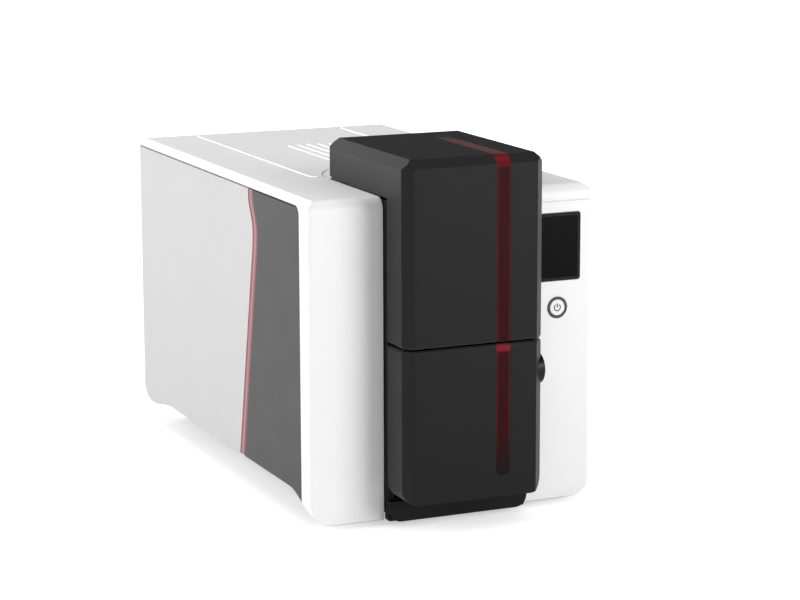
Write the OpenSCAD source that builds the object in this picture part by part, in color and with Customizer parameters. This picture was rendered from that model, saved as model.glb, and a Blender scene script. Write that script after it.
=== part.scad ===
// Desktop id card printer with a front card feeder, an output hopper below it
// and a lid over the print ribbon.
//
// Everything is drawn in the housing's own frame: x across, y back from the white
// front face, z up from the underside of the housing. housed() then moves it so
// that the origin is the middle of the whole printer's footprint, on the floor.

/* [Housing] */
// Width of the housing
body_w = 205; // [200:1:230]
// Depth of the housing, white front face to rear panel
body_d = 347; // [340:1:380]
// Height of the housing without its feet
body_h = 215; // [212:1:230]
// Wall of the white outer shell
shell_t = 2.5; // [2:0.1:3.5]
// Width of the sloping band along the two top edges
bevel_w = 5.5; // [4:0.5:8]
// Height of the sloping band along the two top edges
bevel_h = 4.7; // [4:0.1:7]
// Radius where the front face turns into the top
front_top_r = 8; // [4:1:12]
// Radius of the upright front edges
front_edge_r = 3; // [3:0.5:5]
// Radius of the two lower corners of the front face
front_corner_r = 16; // [10:1:20]
// Radius of the upright rear edges
rear_edge_r = 4; // [4:0.5:8]
// Radius of the lower rear corner, seen from the side
rear_corner_r = 20; // [10:1:26]
// Height of the lower edge of the sides
side_z = 19; // [16:1:22]
// Depth over which the lower edge rises from the front to the sides
skirt_d = 40; // [38:1:46]
// How far the sides reach down again near the rear
dip_h = 5.5; // [3:0.5:7]
// Length of that lower part of the sides
dip_l = 67; // [60:1:75]
// Depth of the white rim in front of the side panels
rim_d = 16; // [12:1:20]
// Radius of the side opening at its top front corner
rim_r = 6; // [3:0.5:9]
// Gap at every seam between two covers
seam = 0.5; // [0.3:0.1:0.8]
// Gap between the side panels and the sloping band above them
top_seam = 1.1; // [0.8:0.1:1.6]

/* [Side panels] */
// Thickness of the side panels
panel_t = 2.5; // [2:0.1:3]
// How far the side panels lie behind the white shell
panel_inset = 0.4; // [0.2:0.1:0.8]
// Width of the red pinstripe on the side
pin_w = 9; // [6:0.5:12]
// Depth of the pinstripe's knee behind the front face
knee_y = 97.4; // [85:0.1:110]
// Height of the pinstripe's knee
knee_z = 182; // [170:1:190]
// How far the pinstripe runs back above its knee
knee_sweep = 8; // [4:1:12]
// Height over which it does so
knee_h = 23; // [18:1:26]
// How far the pinstripe leans back for each millimetre down
stripe_lean = 0.2; // [0.1:0.01:0.25]
// Height over which it turns into that slope
knee_soft = 16; // [8:1:24]

/* [Front column] */
// Width of the black column
column_w = 100; // [98:1:104]
// How far the column stands in front of the white face
column_proud = 34; // [34:1:40]
// How far the feeder hood rises above the housing
hood_rise = 28; // [26:1:34]
// Depth of the feeder hood behind the white face
hood_back = 91; // [91:1:94]
// Height of the joint between feeder hood and hopper door
split_z = 119.9; // [117:0.1:122]
// Width of that joint
split_gap = 1.2; // [0.8:0.1:2]
// Height of the lower edge of the hopper door
door_z = 16.4; // [15:0.1:18]
// Wall of the hood and the door
column_t = 2.5; // [2:0.1:3]
// Width of the flat that breaks each outer edge
edge_flat = 6; // [4:0.5:7]
// Width of the flat on both sides of the joint
groove_flat = 1.4; // [1:0.1:2]
// Radius of the two lower corners of the hopper door
door_corner_r = 10; // [6:1:12]
// Thickness of the frame between column and white face
bay_front_t = 5.5; // [5:0.1:7]
// Front of the plinth under the hopper, before the white face
plinth_proud = 9; // [7:1:12]
// Radius of the plinth's two lower corners
plinth_r = 8; // [5:1:10]
// Width of the red stripe
stripe_w = 10; // [8:1:12]
// Middle of the red stripe, to the right of the column's middle
stripe_x = 19.8; // [15:0.1:25]
// Thickness of the red stripe
stripe_t = 0.9; // [0.6:0.1:1.2]
// Where the red stripe ends on top, behind the white face
stripe_back = 62; // [50:1:75]
// Height of the stripe's round lower end
stripe_low = 31; // [28:1:45]

/* [Lid] */
// Width of the lid
lid_w = 121; // [116:1:124]
// Front edge of the lid behind the white face
lid_y = 95.7; // [95.7:0.1:100]
// Thickness of the lid
lid_t = 2.8; // [2.2:0.1:3.2]
// Radius of the lid's front corners
lid_r = 13; // [8:1:16]
// Depth of the finger scoop in the lid's front
scoop_d = 2; // [1:0.1:2.2]
// Radius of the scoop's round rear edge, seen from above
scoop_r = 56; // [50:1:60]
// Number of grooves on the lid
lid_grooves = 5; // [3:1:7]
// Distance between the grooves
groove_pitch = 8; // [6:0.5:9]
// Width of one groove
groove_w = 1.4; // [1:0.1:2]
// Depth of one groove
groove_d = 0.8; // [0.4:0.1:1.2]
// Where the grooves end, behind the white face
groove_back = 257; // [240:1:280]
// Length of one groove
groove_l = 130; // [100:1:140]

/* [Controls] */
// Width of the white face beside the column that the controls are laid out for
face_w = 52.5; // [50:0.5:55]
// Width of the display
display_w = 40; // [34:0.5:40]
// Height of the display
display_h = 46; // [40:0.5:50]
// Right edge of the display, from the side of the column
display_right = 43.2; // [42.4:0.1:44]
// Height of the middle of the display
display_mid_z = 173.5; // [172:0.1:176]
// Radius of the display's corners
display_r = 2; // [1:0.1:3]
// Middle of the power button, from the side of the column
button_x = 26.5; // [22:0.1:30]
// Height of the power button's middle
button_z = 132.3; // [128:0.1:136]
// Outer radius of the ring round the power button
ring_r = 7.3; // [6.5:0.1:8]
// Radius of the power button
button_r = 5.4; // [4.6:0.1:5.6]
// Travel of the power button
button_travel = 1.2; // [0.8:0.1:1.5]
// Radius of the release button on the hopper door
release_r = 10.5; // [8:0.5:11]
// How far the release button stands out
release_proud = 4.4; // [3.4:0.1:5]
// Height of the release button's upright rim
release_rim = 1.8; // [1:0.1:2.2]
// Height of the release button's middle
release_z = 98; // [94:1:100]
// Travel of the release button
release_travel = 1.5; // [1:0.1:2]

/* [Cards] */
// Length of a card
card_l = 85.6; // [85.6:0.1:86]
// Width of a card
card_w = 54; // [54:0.1:55]
// Thickness of a card
card_t = 0.8; // [0.7:0.01:0.9]
// Space round a card in the magazine and the hopper
card_gap = 0.7; // [0.5:0.1:1]
// Height of the magazine's walls
magazine_h = 77; // [70:1:80]
// Height of the card path above the joint of the column
path_rise = 8.1; // [7:0.1:9]

/* [Print engine] */
// Depth of the bay behind the column that the roller distances are laid out for
engine_room = 256; // [250:1:262]
// Distance between the two chassis plates
chassis_w = 80; // [78:1:84]
// Thickness of a chassis plate
plate_t = 2; // [1.5:0.1:2.5]
// Radius of the rubber drive rollers
roller_r = 7; // [6.5:0.1:7.5]
// Radius of the roller shafts
shaft_r = 3; // [2.5:0.1:3.5]
// Radius of the pinch rollers
pinch_r = 5; // [4.5:0.1:5.5]
// Length of the rubber on the rollers
roller_l = 60; // [56:1:62]
// Distance from the entry roller to the platen, and from there to the exit roller
roller_pitch = 76; // [74:1:80]
// Distance of the platen roller from the rear edge of the column
platen_y = 97; // [95:1:101]
// Running clearance of shafts and pins in their bores
run_gap = 0.05; // [0.03:0.01:0.08]
// Tooth size of the gears, pitch diameter divided by teeth
gear_m = 1; // [0.9:0.05:1]
// Teeth of the drive gear
gear_teeth = 48; // [44:1:50]
// Teeth of the motor pinion
pinion_teeth = 12; // [12:1:14]
// Width of the drive motor
motor_w = 35; // [30:1:36]
// Length of the drive motor
motor_l = 32; // [26:1:36]
// Radius of the ribbon on the full supply spool
supply_r = 18; // [14:0.5:19]
// Radius of the ribbon on the take-up spool
takeup_r = 12; // [10:0.5:14]
// Width of the ribbon
ribbon_w = 58; // [56:1:60]
// Width of the fan
fan_w = 40; // [36:1:42]
// Height of the rubber feet
foot_h = 4; // [3:0.5:6]
// Radius of the rubber feet
foot_r = 9; // [7:0.5:11]

/* [Hidden] */
$fn = 48;
eps = 0.01;
over = 5;                       // how far a cutting body runs past what it cuts
half_w = body_w / 2;
col_x = column_w / 2;
col_top = body_h + hood_rise;
printer_mid_y = (body_d - column_proud) / 2;
inlay_gap = 0.05;
panel_top = body_h - bevel_h;
panel_wrap_x = half_w - rear_edge_r;
knee_top = min(knee_z + knee_h, panel_top - 1);

// Keel and flange of the base tray
keel_x = 72;
keel_y = rim_d + 2 * seam;
keel_t = 3;
foot_x = 58;
foot_y = 36;
foot_sink = 1;

// Bay frame behind the column
bay_x = col_x - 0.1;
cheek_t = 2.5;
cheek_in = bay_x - cheek_t;
cheek_back = hood_back - 1;
ring_x = col_x - 4.5;
ring_low = door_z - 0.9;
ring_high = body_h - 5;
bay_top = body_h - 1.5;

// Hood hinge
hood_axis_y = hood_back - 7;
hood_axis_z = body_h + 9;
hood_pin_r = 2;
hood_lug_r = 4;
hood_lug_x1 = col_x - column_t - 0.4;
hood_lug_x0 = hood_lug_x1 - 2.6;
knuckle_r = 4.5;
knuckle_l = 8;
knuckle_x = hood_lug_x0 - 1;

// Hopper door hinge
door_axis_y = -column_proud + 14;
door_axis_z = door_z + 7.6;
door_pin_r = 1.6;
door_pin_x = col_x - 1.2;
door_swing_r = 14;
door_top = split_z - split_gap / 2;
release_y = -column_proud + 13;
hood_low = split_z + split_gap / 2;

// Lid hinge
lid_axis_y = body_d - 9;
lid_axis_z = body_h - 8;
lid_pin_r = 2;
lid_x = lid_w / 2 - seam;
lid_lip_z = body_h - 18;
rear_notch_z = lid_lip_z - 3.5;
lug_w = 5;
lug_x = lid_x + seam + 0.6;

// Card path
card_z = split_z + path_rise;
magazine_x = card_w / 2 + card_gap;
magazine_y0 = -27;
magazine_y1 = magazine_y0 + card_l + 2 * card_gap;
magazine_t = 2;
magazine_floor = card_z + 0.5;
pick_y = 20;
pick_l = 28;
weight_t = 12;

// Print engine
plate_in = chassis_w / 2;
plate_out = plate_in + plate_t;
roller_z = card_z - roller_r;
pick_z = roller_z + 1;
pick_shaft_r = shaft_r - 1;
pinch_z = card_z + card_t + pinch_r;
bay_k = (body_d - hood_back) / engine_room;
pitch = roller_pitch * bay_k;
platen_mid_y = hood_back + platen_y * bay_k;
entry_y = platen_mid_y - pitch;
exit_y = platen_mid_y + pitch;
plate_y0 = entry_y - 14;
plate_y1 = body_d - 33;
plate_top = card_z + 22;
gear_far = gear_m * (gear_teeth + pinion_teeth) / 2 + 0.3;
pinion_z = roller_z - gear_far;
pulley_x = plate_out + 4;
pulley_w = 6;
pulley_r = 8.1;
belt_t = 1;
gear_x = pulley_x + pulley_w + 1;
gear_w = 5;
bar_r = 3;
bar_z = card_z + card_t + 1.2 + bar_r;
front_bar_y = entry_y + 18;
rear_bar_y = exit_y - 14;
low_bar_z = 30;
guide_t = 2;
guide_z = card_z - 1;

// Ribbon cassette and print head
cassette_x = plate_in - 3;
cassette_t = 2.5;
cassette_low = bar_z + bar_r;
cassette_high = cassette_low + 44;
cassette_y0 = entry_y + 12;
cassette_y1 = exit_y - 9;
spool_z = card_z + 32;
takeup_y = cassette_y0 + 16;
supply_y = cassette_y1 - 17;
spool_pin_r = 4;
film_t = 0.2;
film_z = card_z + card_t + 0.1;
guide_rod_r = 2;
guide_rod_far = 17;
head_d = 20;
head_z = film_z + film_t + 0.1;
head_h = 12;
arm_x = 33;
arm_d = 16;

// Controls on the white face, across
face_k = (half_w - col_x) / face_w;
display_x1 = col_x + display_right * face_k;
display_x0 = display_x1 - display_w * face_k;
button_mid_x = col_x + button_x * face_k;

// Rear connections, across and up
socket_z = 50;
power_socket_x = 58;
usb_socket_x = 34;
net_socket_x = 8;
socket_l = 16;
fan_x = -56;
fan_z = 100;
fan_t = 10;
fan_hub_r = 8;
slot_h = 5;
board_x = -62;
board_t = 1.6;
control_y = 9;

// Screws through the rear panel into the base tray
screw_x = 50;
screw_z = side_z + 16;
screw_r = 1.5;
screw_head_r = 3;
screw_head_t = 1.2;
upstand_z = side_z + 21;

// ---- Shared shapes ----

module housed() {
    translate([0, -printer_mid_y, foot_h]) children();
}

// A flat shape of depth and height, drawn out along x
module along_x(x0, x1) {
    translate([x0, 0, 0]) rotate([90, 0, 90]) linear_extrude(x1 - x0) children();
}

// A flat shape of width and height, drawn out along y
module along_y(y0, y1) {
    translate([0, y1, 0]) rotate([90, 0, 0]) linear_extrude(y1 - y0) children();
}

// A flat shape of width and depth, drawn out along z
module along_z(z0, z1) {
    translate([0, 0, z0]) linear_extrude(z1 - z0) children();
}

module block(x0, x1, y0, y1, z0, z1) {
    translate([x0, y0, z0]) cube([x1 - x0, y1 - y0, z1 - z0]);
}

module rod_x(x0, x1, y, z, r) {
    along_x(x0, x1) translate([y, z]) circle(r);
}

module rod_y(x, z, y0, y1, r) {
    along_y(y0, y1) translate([x, z]) circle(r);
}

module rod_z(x, y, z0, z1, r) {
    along_z(z0, z1) translate([x, y]) circle(r);
}

module both_sides() {
    children();
    mirror([1, 0, 0]) children();
}

module rect(x0, x1, y0, y1) {
    translate([x0, y0]) square([x1 - x0, y1 - y0]);
}

// What a round corner takes off: the corner lies at [x, y], the solid towards [dx, dy]
module corner_waste(x, y, dx, dy, r) {
    translate([x, y]) scale_sign(dx, dy) difference() {
        rect(-1, r, -1, r);
        translate([r, r]) circle(r);
    }
}

module scale_sign(dx, dy) {
    mirror([dx < 0 ? 1 : 0, 0]) mirror([0, dy < 0 ? 1 : 0]) children();
}

module round_rect(x0, x1, y0, y1, r) {
    difference() {
        rect(x0, x1, y0, y1);
        corner_waste(x0, y0, 1, 1, r);
        corner_waste(x1, y0, -1, 1, r);
        corner_waste(x0, y1, 1, -1, r);
        corner_waste(x1, y1, -1, -1, r);
    }
}

// A 45 degree flat gets this much narrower when its surface is set in by i
function flat_in(c, i) = max(c - (2 - sqrt(2)) * i, 0.2);

// ---- Housing ----

// Width and height of the housing
module front_outline(i) {
    w = half_w - i;
    h = body_h - i;
    difference() {
        polygon([[-w, i], [w, i], [w, h - flat_in(bevel_h, i)], [w - flat_in(bevel_w, i), h],
            [-w + flat_in(bevel_w, i), h], [-w, h - flat_in(bevel_h, i)]]);
        corner_waste(-w, i, 1, 1, front_corner_r - i);
        corner_waste(w, i, -1, 1, front_corner_r - i);
    }
}

// Depth and height of the housing: the sides' lower edge rises from the front and
// dips again before the lower rear corner
module side_outline(i) {
    steps = 8;
    start = i / skirt_d;
    skirt = [for (k = [0:steps])
        let (t = start + (1 - start) * k / steps, rise = 2 * side_z * (1 - t) / skirt_d)
        [skirt_d * t, side_z * t * (2 - t) + i * sqrt(1 + rise * rise)]];
    dip_y0 = body_d - dip_l;
    dip_y1 = body_d - rear_corner_r - 2;
    dip = [for (k = [0:steps])
        [dip_y0 + (dip_y1 - dip_y0) * k / steps, side_z - dip_h * ease(k / steps) + i]];
    low = side_z - dip_h + i;
    difference() {
        polygon(concat(skirt, dip, [[body_d - i, low], [body_d - i, body_h - i], [i, body_h - i]]));
        corner_waste(i, body_h - i, 1, -1, front_top_r - i);
        corner_waste(body_d - i, low, -1, 1, rear_corner_r - i);
        corner_waste(body_d - i, body_h - i, -1, -1, max(front_edge_r + 1 - i, 0.3));
    }
}

// Width and depth of the housing
module plan_outline(i) {
    w = half_w - i;
    difference() {
        rect(-w, w, i, body_d - i);
        corner_waste(-w, i, 1, 1, max(front_edge_r - i, 0.3));
        corner_waste(w, i, -1, 1, max(front_edge_r - i, 0.3));
        corner_waste(-w, body_d - i, 1, -1, max(rear_edge_r - i, 0.3));
        corner_waste(w, body_d - i, -1, -1, max(rear_edge_r - i, 0.3));
    }
}

// The housing as one full body, its surface set in by i
module housing_body(i) {
    intersection() {
        along_y(-over, body_d + over) front_outline(i);
        along_x(-half_w - over, half_w + over) side_outline(i);
        along_z(-over, body_h + over) plan_outline(i);
    }
}

module side_opening() {
    difference() {
        rect(rim_d, body_d + over, -over, panel_top);
        corner_waste(rim_d, panel_top, 1, -1, rim_r);
    }
}

module lid_outline(g) {
    difference() {
        rect(-lid_x - g, lid_x + g, lid_y - g, body_d + over);
        corner_waste(-lid_x - g, lid_y - g, 1, 1, lid_r + g);
        corner_waste(lid_x + g, lid_y - g, -1, 1, lid_r + g);
    }
}

module outer_shell() {
    beam_y0 = hood_back + seam;
    beam_d = lid_y - hood_back - 3 * seam;
    slot_x = col_x + seam;
    line_z = 10.5;
    line_d = 0.4;
    housed() color("whitesmoke") difference() {
        union() {
            difference() {
                housing_body(0);
                housing_body(shell_t);
                along_x(-half_w - over, half_w + over) side_opening();
            }
            block(-lid_x, lid_x, beam_y0, beam_y0 + beam_d, ring_high - 5, body_h - shell_t / 2);
        }
        block(-slot_x, slot_x, -over, hood_back + seam, -over, body_h + over);
        along_z(lid_lip_z, body_h + over) lid_outline(seam);
        along_y(-over, shell_t + over) display_opening();
        rod_y(button_mid_x, button_z, -over, shell_t + over, ring_r + inlay_gap);
        block(slot_x, half_w + over, -over, line_d, body_h - line_z - line_d, body_h - line_z);
    }
}

module display_opening() {
    round_rect(display_x0 - inlay_gap, display_x1 + inlay_gap,
        display_mid_z - display_h / 2 - inlay_gap, display_mid_z + display_h / 2 + inlay_gap, display_r);
}

module base_tray() {
    flange_x = half_w - panel_inset - panel_t - seam;
    flange_z = side_z + panel_inset + panel_t;
    rear_y = body_d - shell_t - seam;
    up_y = rear_y - 8;
    housed() color("dimgray") difference() {
        union() {
            block(-keel_x, keel_x, keel_y, up_y, 0, side_z + keel_t);
            block(-flange_x, flange_x, rim_d + seam + shell_t, up_y - 8, flange_z, flange_z + keel_t);
            block(-keel_x, keel_x, up_y, rear_y, side_z + keel_t, upstand_z);
            block(-keel_x, keel_x, up_y - keel_t, up_y, 0, upstand_z);
        }
        block(-keel_x + keel_t, keel_x - keel_t, keel_y + keel_t, up_y - keel_t, keel_t,
            flange_z + keel_t + over);
        block(-bay_x - 0.2, bay_x + 0.2, keel_y - over, keel_y + keel_t + over, ring_low - 1,
            flange_z + keel_t + over);
        both_sides() for (y = [foot_y, body_d - foot_y]) rod_z(foot_x, y, -over, foot_sink, foot_r);
        for (x = [-screw_x, screw_x]) rod_y(x, screw_z, up_y - over, rear_y + over, screw_r);
    }
}

module rubber_feet() {
    housed() color("black") both_sides() for (y = [foot_y, body_d - foot_y]) {
        rod_z(foot_x, y, -foot_h, foot_sink, foot_r);
    }
}

// ---- Side panels ----

function ease(t) = t <= 0 ? 0 : t >= 1 ? 1 : t * t * (3 - 2 * t);

// A slope of one that starts softly over a length of s
function soft(u, s) = u <= 0 ? 0 : u < s ? u * u / (2 * s) : u - s / 2;

// Depth of the pinstripe's middle at height z
function pin_y(z) =
    knee_y + stripe_lean * soft(knee_z - z, knee_soft) + knee_sweep * ease((z - knee_z) / knee_h);

pin_zs = concat([0], [for (k = [4:-1:0]) knee_z - knee_soft * k / 4],
    [for (k = [1:9]) knee_z + (knee_top - knee_z) * k / 9], [panel_top]);

// The side's outline between two lines that follow the pinstripe, or from one to the rear
module side_field(from, to) {
    front = [for (z = pin_zs) [from == undef ? rim_d + seam : pin_y(z) + from, z]];
    back = [for (k = [len(pin_zs) - 1:-1:0])
        let (z = pin_zs[k]) [to == undef ? body_d : pin_y(z) + to, z]];
    polygon(concat(front, back));
}

// A skin of the housing's side, t thick and set in by i
module side_skin(i, t) {
    difference() {
        intersection() {
            housing_body(i);
            block(-half_w - over, -panel_wrap_x, rim_d + seam, body_d + over, -over, panel_top - top_seam);
        }
        housing_body(i + t);
    }
}

module side_panel_left() {
    intersection() {
        side_skin(panel_inset, panel_t);
        along_x(-half_w - over, 0) side_field(pin_w / 2, undef);
    }
}

module accent_panel_left() {
    intersection() {
        side_skin(panel_inset, panel_t);
        along_x(-half_w - over, 0) difference() {
            side_field(undef, -pin_w / 2);
            corner_waste(rim_d + seam, panel_top - top_seam, 1, -1, rim_r - seam);
        }
    }
}

module pinstripe_left() {
    intersection() {
        side_skin(panel_inset + 0.3, panel_t - 0.3);
        along_x(-half_w - over, 0) side_field(-pin_w / 2, pin_w / 2);
    }
}

module left_side_panel() {
    housed() color("gainsboro") side_panel_left();
}

module right_side_panel() {
    housed() color("gainsboro") mirror([1, 0, 0]) side_panel_left();
}

module left_accent_panel() {
    housed() color("dimgray") accent_panel_left();
}

module right_accent_panel() {
    housed() color("dimgray") mirror([1, 0, 0]) accent_panel_left();
}

module left_pinstripe() {
    housed() color("crimson") pinstripe_left();
}

module right_pinstripe() {
    housed() color("crimson") mirror([1, 0, 0]) pinstripe_left();
}

// ---- Rear ----

module rear_panel() {
    panel_x = panel_wrap_x - seam;
    low = side_z + 9;
    y0 = body_d - shell_t - panel_inset;
    y1 = body_d - panel_inset;
    housed() color("gainsboro") difference() {
        union() {
            block(-panel_x, panel_x, y0, y1, low, panel_top - seam);
            both_sides() block(lug_x, lug_x + lug_w, lid_axis_y - 6, y0, lid_axis_z - 8, lid_axis_z + 4);
        }
        block(-lug_x + 0.1, lug_x - 0.1, y0 - over, y1 + over, rear_notch_z, body_h);
        both_sides() rod_x(lug_x - over, lug_x + lug_w + over, lid_axis_y, lid_axis_z, lid_pin_r);
        fan_grille(y0 - over, y1 + over);
        along_y(y0 - over, y1 + over) reject_outline(2);
        socket_hole(power_socket_x, 11, 11);
        socket_hole(usb_socket_x, 12, 11);
        socket_hole(net_socket_x, 16, 14);
        for (x = [-screw_x, screw_x]) {
            rod_y(x, screw_z, y0 - over, y1 + over, screw_r + 0.1);
            rod_y(x, screw_z, y1 - screw_head_t, y1 + over, screw_head_r + 0.1);
        }
    }
}

module fan_grille(y0, y1) {
    slots = 6;
    slot_w = 3.2;
    pitch = fan_w * 0.82 / slots;
    for (k = [0:slots - 1]) {
        x = fan_x + (k - (slots - 1) / 2) * pitch;
        block(x - slot_w / 2, x + slot_w / 2, y0, y1, fan_z - fan_w * 0.38, fan_z + fan_w * 0.38);
    }
}

module reject_outline(g) {
    round_rect(-card_w / 2 - g - 2, card_w / 2 + g + 2, card_z - 1 - g, card_z - 1 + slot_h + g, 1);
}

module socket_hole(x, w, h) {
    block(x - w / 2 - inlay_gap, x + w / 2 + inlay_gap, body_d - 2 * shell_t - over, body_d + over,
        socket_z - h / 2 - inlay_gap, socket_z + h / 2 + inlay_gap);
}

module rear_screws() {
    y1 = body_d - panel_inset;
    slot_d = 0.7;
    slot_l = 4;
    slot_w = 0.8;
    housed() color("silver") for (x = [-screw_x, screw_x]) translate([x, 0, screw_z]) difference() {
        union() {
            rod_y(0, 0, y1 - 14, y1 - screw_head_t, screw_r);
            rod_y(0, 0, y1 - screw_head_t, y1 - 0.1, screw_head_r);
        }
        block(-slot_l / 2, slot_l / 2, y1 - slot_d, y1 + over, -slot_w / 2, slot_w / 2);
        block(-slot_w / 2, slot_w / 2, y1 - slot_d, y1 + over, -slot_l / 2, slot_l / 2);
    }
}

module reject_bezel() {
    y0 = body_d - shell_t - panel_inset;
    housed() color("black") difference() {
        along_y(y0 - 6, y0 + shell_t) reject_outline(2 - inlay_gap);
        along_y(y0 - over - 6, y0 + shell_t + over) reject_outline(0);
    }
}

module socket_body(x, w, h, wall, tongue_w) {
    y1 = body_d - panel_inset - 0.2;
    y0 = y1 - socket_l;
    half_h = h / 2;
    difference() {
        block(x - w / 2, x + w / 2, y0, y1, socket_z - half_h, socket_z + half_h);
        block(x - w / 2 + wall, x + w / 2 - wall, y0 + 3, y1 + over, socket_z - half_h + wall,
            socket_z + half_h - wall);
    }
    if (tongue_w > 0) {
        block(x - tongue_w / 2, x + tongue_w / 2, y0 + 2, y1 - 2, socket_z - 2.2, socket_z + 0.2);
    }
}

module power_socket() {
    y1 = body_d - panel_inset - 0.2;
    y0 = y1 - socket_l;
    half = 5.5;
    housed() color("black") translate([power_socket_x, 0, socket_z]) {
        difference() {
            block(-half, half, y0, y1, -half, half);
            rod_y(0, 0, y0 + 3, y1 + over, 4.2);
        }
        rod_y(0, 0, y0 + 2, y1 - 2, 1.2);
    }
}

module usb_socket() {
    housed() color("silver") socket_body(usb_socket_x, 12, 11, 1, 5.5);
}

module network_socket() {
    housed() color("silver") socket_body(net_socket_x, 16, 14, 1.2, 0);
}

module fan_housing() {
    y1 = body_d - shell_t - panel_inset;
    y0 = y1 - fan_t;
    half = fan_w / 2;
    housed() color("black") translate([fan_x, 0, fan_z]) {
        difference() {
            block(-half, half, y0, y1, -half, half);
            rod_y(0, 0, y0 - over, y1 + over, half - 1);
        }
        difference() {
            union() {
                rod_y(0, 0, y0, y0 + 1.5, fan_hub_r + 0.4);
                block(0.5 - half, half - 0.5, y0, y0 + 1.5, -1.5, 1.5);
            }
            rod_y(0, 0, y0 - over, y0 + over, 1 + run_gap);
        }
    }
}

module fan_rotor() {
    y1 = body_d - shell_t - panel_inset;
    y0 = y1 - fan_t;
    blades = 7;
    root_r = fan_hub_r - 1;
    tip_r = fan_w / 2 - 2;
    blade = [tip_r - root_r, 1, 7];
    housed() color("black") translate([fan_x, 0, fan_z]) {
        rod_y(0, 0, y0 + 2, y1 - 0.6, fan_hub_r);
        rod_y(0, 0, y0 + 0.2, y0 + 2.5, 1);
        for (k = [0:blades - 1]) rotate([0, k * 360 / blades, 0]) {
            translate([(root_r + tip_r) / 2, (y0 + y1) / 2 + 0.7, 0]) rotate([38, 0, 0]) cube(blade,
                center = true);
        }
    }
}

// ---- Lid ----

module top_lid() {
    rib_x = lid_x - 3;
    rib_low = body_h - 10;
    front_y = lid_y + lid_r + 3;
    rear_y = lid_axis_y - 12;
    housed() color("whitesmoke") difference() {
        union() {
            intersection() {
                housing_body(0);
                along_z(body_h - lid_t, body_h + over) lid_outline(0);
            }
            intersection() {
                housing_body(0);
                block(-lid_x, lid_x, body_d - shell_t, body_d, lid_lip_z, body_h);
            }
            both_sides() block(rib_x - 2, rib_x, front_y, rear_y, rib_low, body_h - lid_t / 2);
            block(-rib_x, rib_x, front_y, front_y + 2, rib_low, body_h - lid_t / 2);
            block(-rib_x, rib_x, rear_y - 2, rear_y, rib_low, body_h - lid_t / 2);
            both_sides() {
                rod_x(lid_x - 7, lid_x, lid_axis_y, lid_axis_z, 4.5);
                block(lid_x - 7, lid_x, lid_axis_y - 4.5, lid_axis_y + 4.5, lid_axis_z, body_h - lid_t / 2);
            }
        }
        both_sides() rod_x(lid_x - 7 - over, lid_x + over, lid_axis_y, lid_axis_z, lid_pin_r + run_gap);
        lid_scoop();
        for (k = [0:lid_grooves - 1]) {
            x = (k - (lid_grooves - 1) / 2) * groove_pitch;
            y1 = groove_back - 2 * abs(k - (lid_grooves - 1) / 2);
            block(x - groove_w / 2, x + groove_w / 2, groove_back - groove_l, y1, body_h - groove_d,
                body_h + over);
        }
    }
}

// A shallow hollow in the lid's front edge for two fingers
module lid_scoop() {
    intersection() {
        rod_z(0, lid_y, body_h - lid_t - over, body_h + over, scoop_r - 6);
        along_x(-lid_x, lid_x) polygon([[lid_y - over, body_h - scoop_d], [lid_y + 30, body_h - 0.4],
            [lid_y + scoop_r, body_h + 0.6], [lid_y - over, body_h + 0.6]]);
    }
}

module lid_hinge_pins() {
    housed() color("silver") both_sides() {
        rod_x(lid_x - 6.5, lug_x + lug_w - 0.5, lid_axis_y, lid_axis_z, lid_pin_r);
    }
}

module head_bracket() {
    y0 = platen_mid_y - arm_d / 2;
    low = head_z + head_h;
    high = body_h - lid_t;
    housed() color("silver") difference() {
        block(-arm_x, arm_x, y0, y0 + arm_d, low, high);
        block(-arm_x + 2, arm_x - 2, y0 - over, y0 + arm_d - 2, low + 3, high - 3);
        block(-arm_x + 10, arm_x - 10, y0, y0 + arm_d + over, low + 16, high - 12);
    }
}

module print_head() {
    y0 = platen_mid_y - head_d / 2;
    heat_w = 3;
    housed() color("darkslategray") {
        difference() {
            block(-arm_x + 2, arm_x - 2, y0, y0 + head_d, head_z + 2, head_z + head_h);
            for (k = [0:4])
                block(-arm_x, arm_x, y0 + 3 + 3 * k, y0 + 4.5 + 3 * k, head_z + 6, head_z + head_h - 2);
        }
        block(-ribbon_w / 2, ribbon_w / 2, platen_mid_y - heat_w / 2, platen_mid_y + heat_w / 2,
            head_z, head_z + 2);
    }
}

// ---- Front column ----

// Width and depth of the column in front of and above the housing
module column_plan(i, y1) {
    x = col_x - i;
    c = flat_in(edge_flat, i);
    y0 = -column_proud + i;
    polygon([[-x, y0 + c], [-x + c, y0], [x - c, y0], [x, y0 + c], [x, y1], [-x, y1]]);
}

// The hood as one full body, its front, top and sides set in by i
module hood_body(i, low, back) {
    y0 = -column_proud + i;
    top = col_top - i;
    x = col_x - i;
    c = flat_in(edge_flat, i);
    intersection() {
        along_z(low, top) column_plan(i, back);
        along_x(-x, x) polygon([[y0, low], [back, low], [back, top - c / 2], [back - c / 2, top],
            [y0 + c, top], [y0, top - c]]);
        along_y(y0 - over, back + over) polygon([[-x, low], [x, low], [x, top - c], [x - c, top],
            [-x + c, top], [-x, top - c]]);
    }
}

// What the joint's small flats take off the hood or, mirrored in z, the door
module groove_waste(z, up) {
    y0 = -column_proud;
    g = groove_flat;
    along_x(-col_x - over, col_x + over) {
        polygon([[y0 - 1, z - up], [y0 + g, z - up], [y0 + g, z], [y0, z + g * up], [y0 - 1, z + g * up]]);
    }
    both_sides() along_y(y0 - over, 0) {
        polygon([[col_x + 1, z - up], [col_x - g, z - up], [col_x - g, z], [col_x, z + g * up],
            [col_x + 1, z + g * up]]);
    }
}

module stripe_block(g, y0, y1, z0, z1) {
    block(stripe_x - stripe_w / 2 - g, stripe_x + stripe_w / 2 + g, y0, y1, z0, z1);
}

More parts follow.
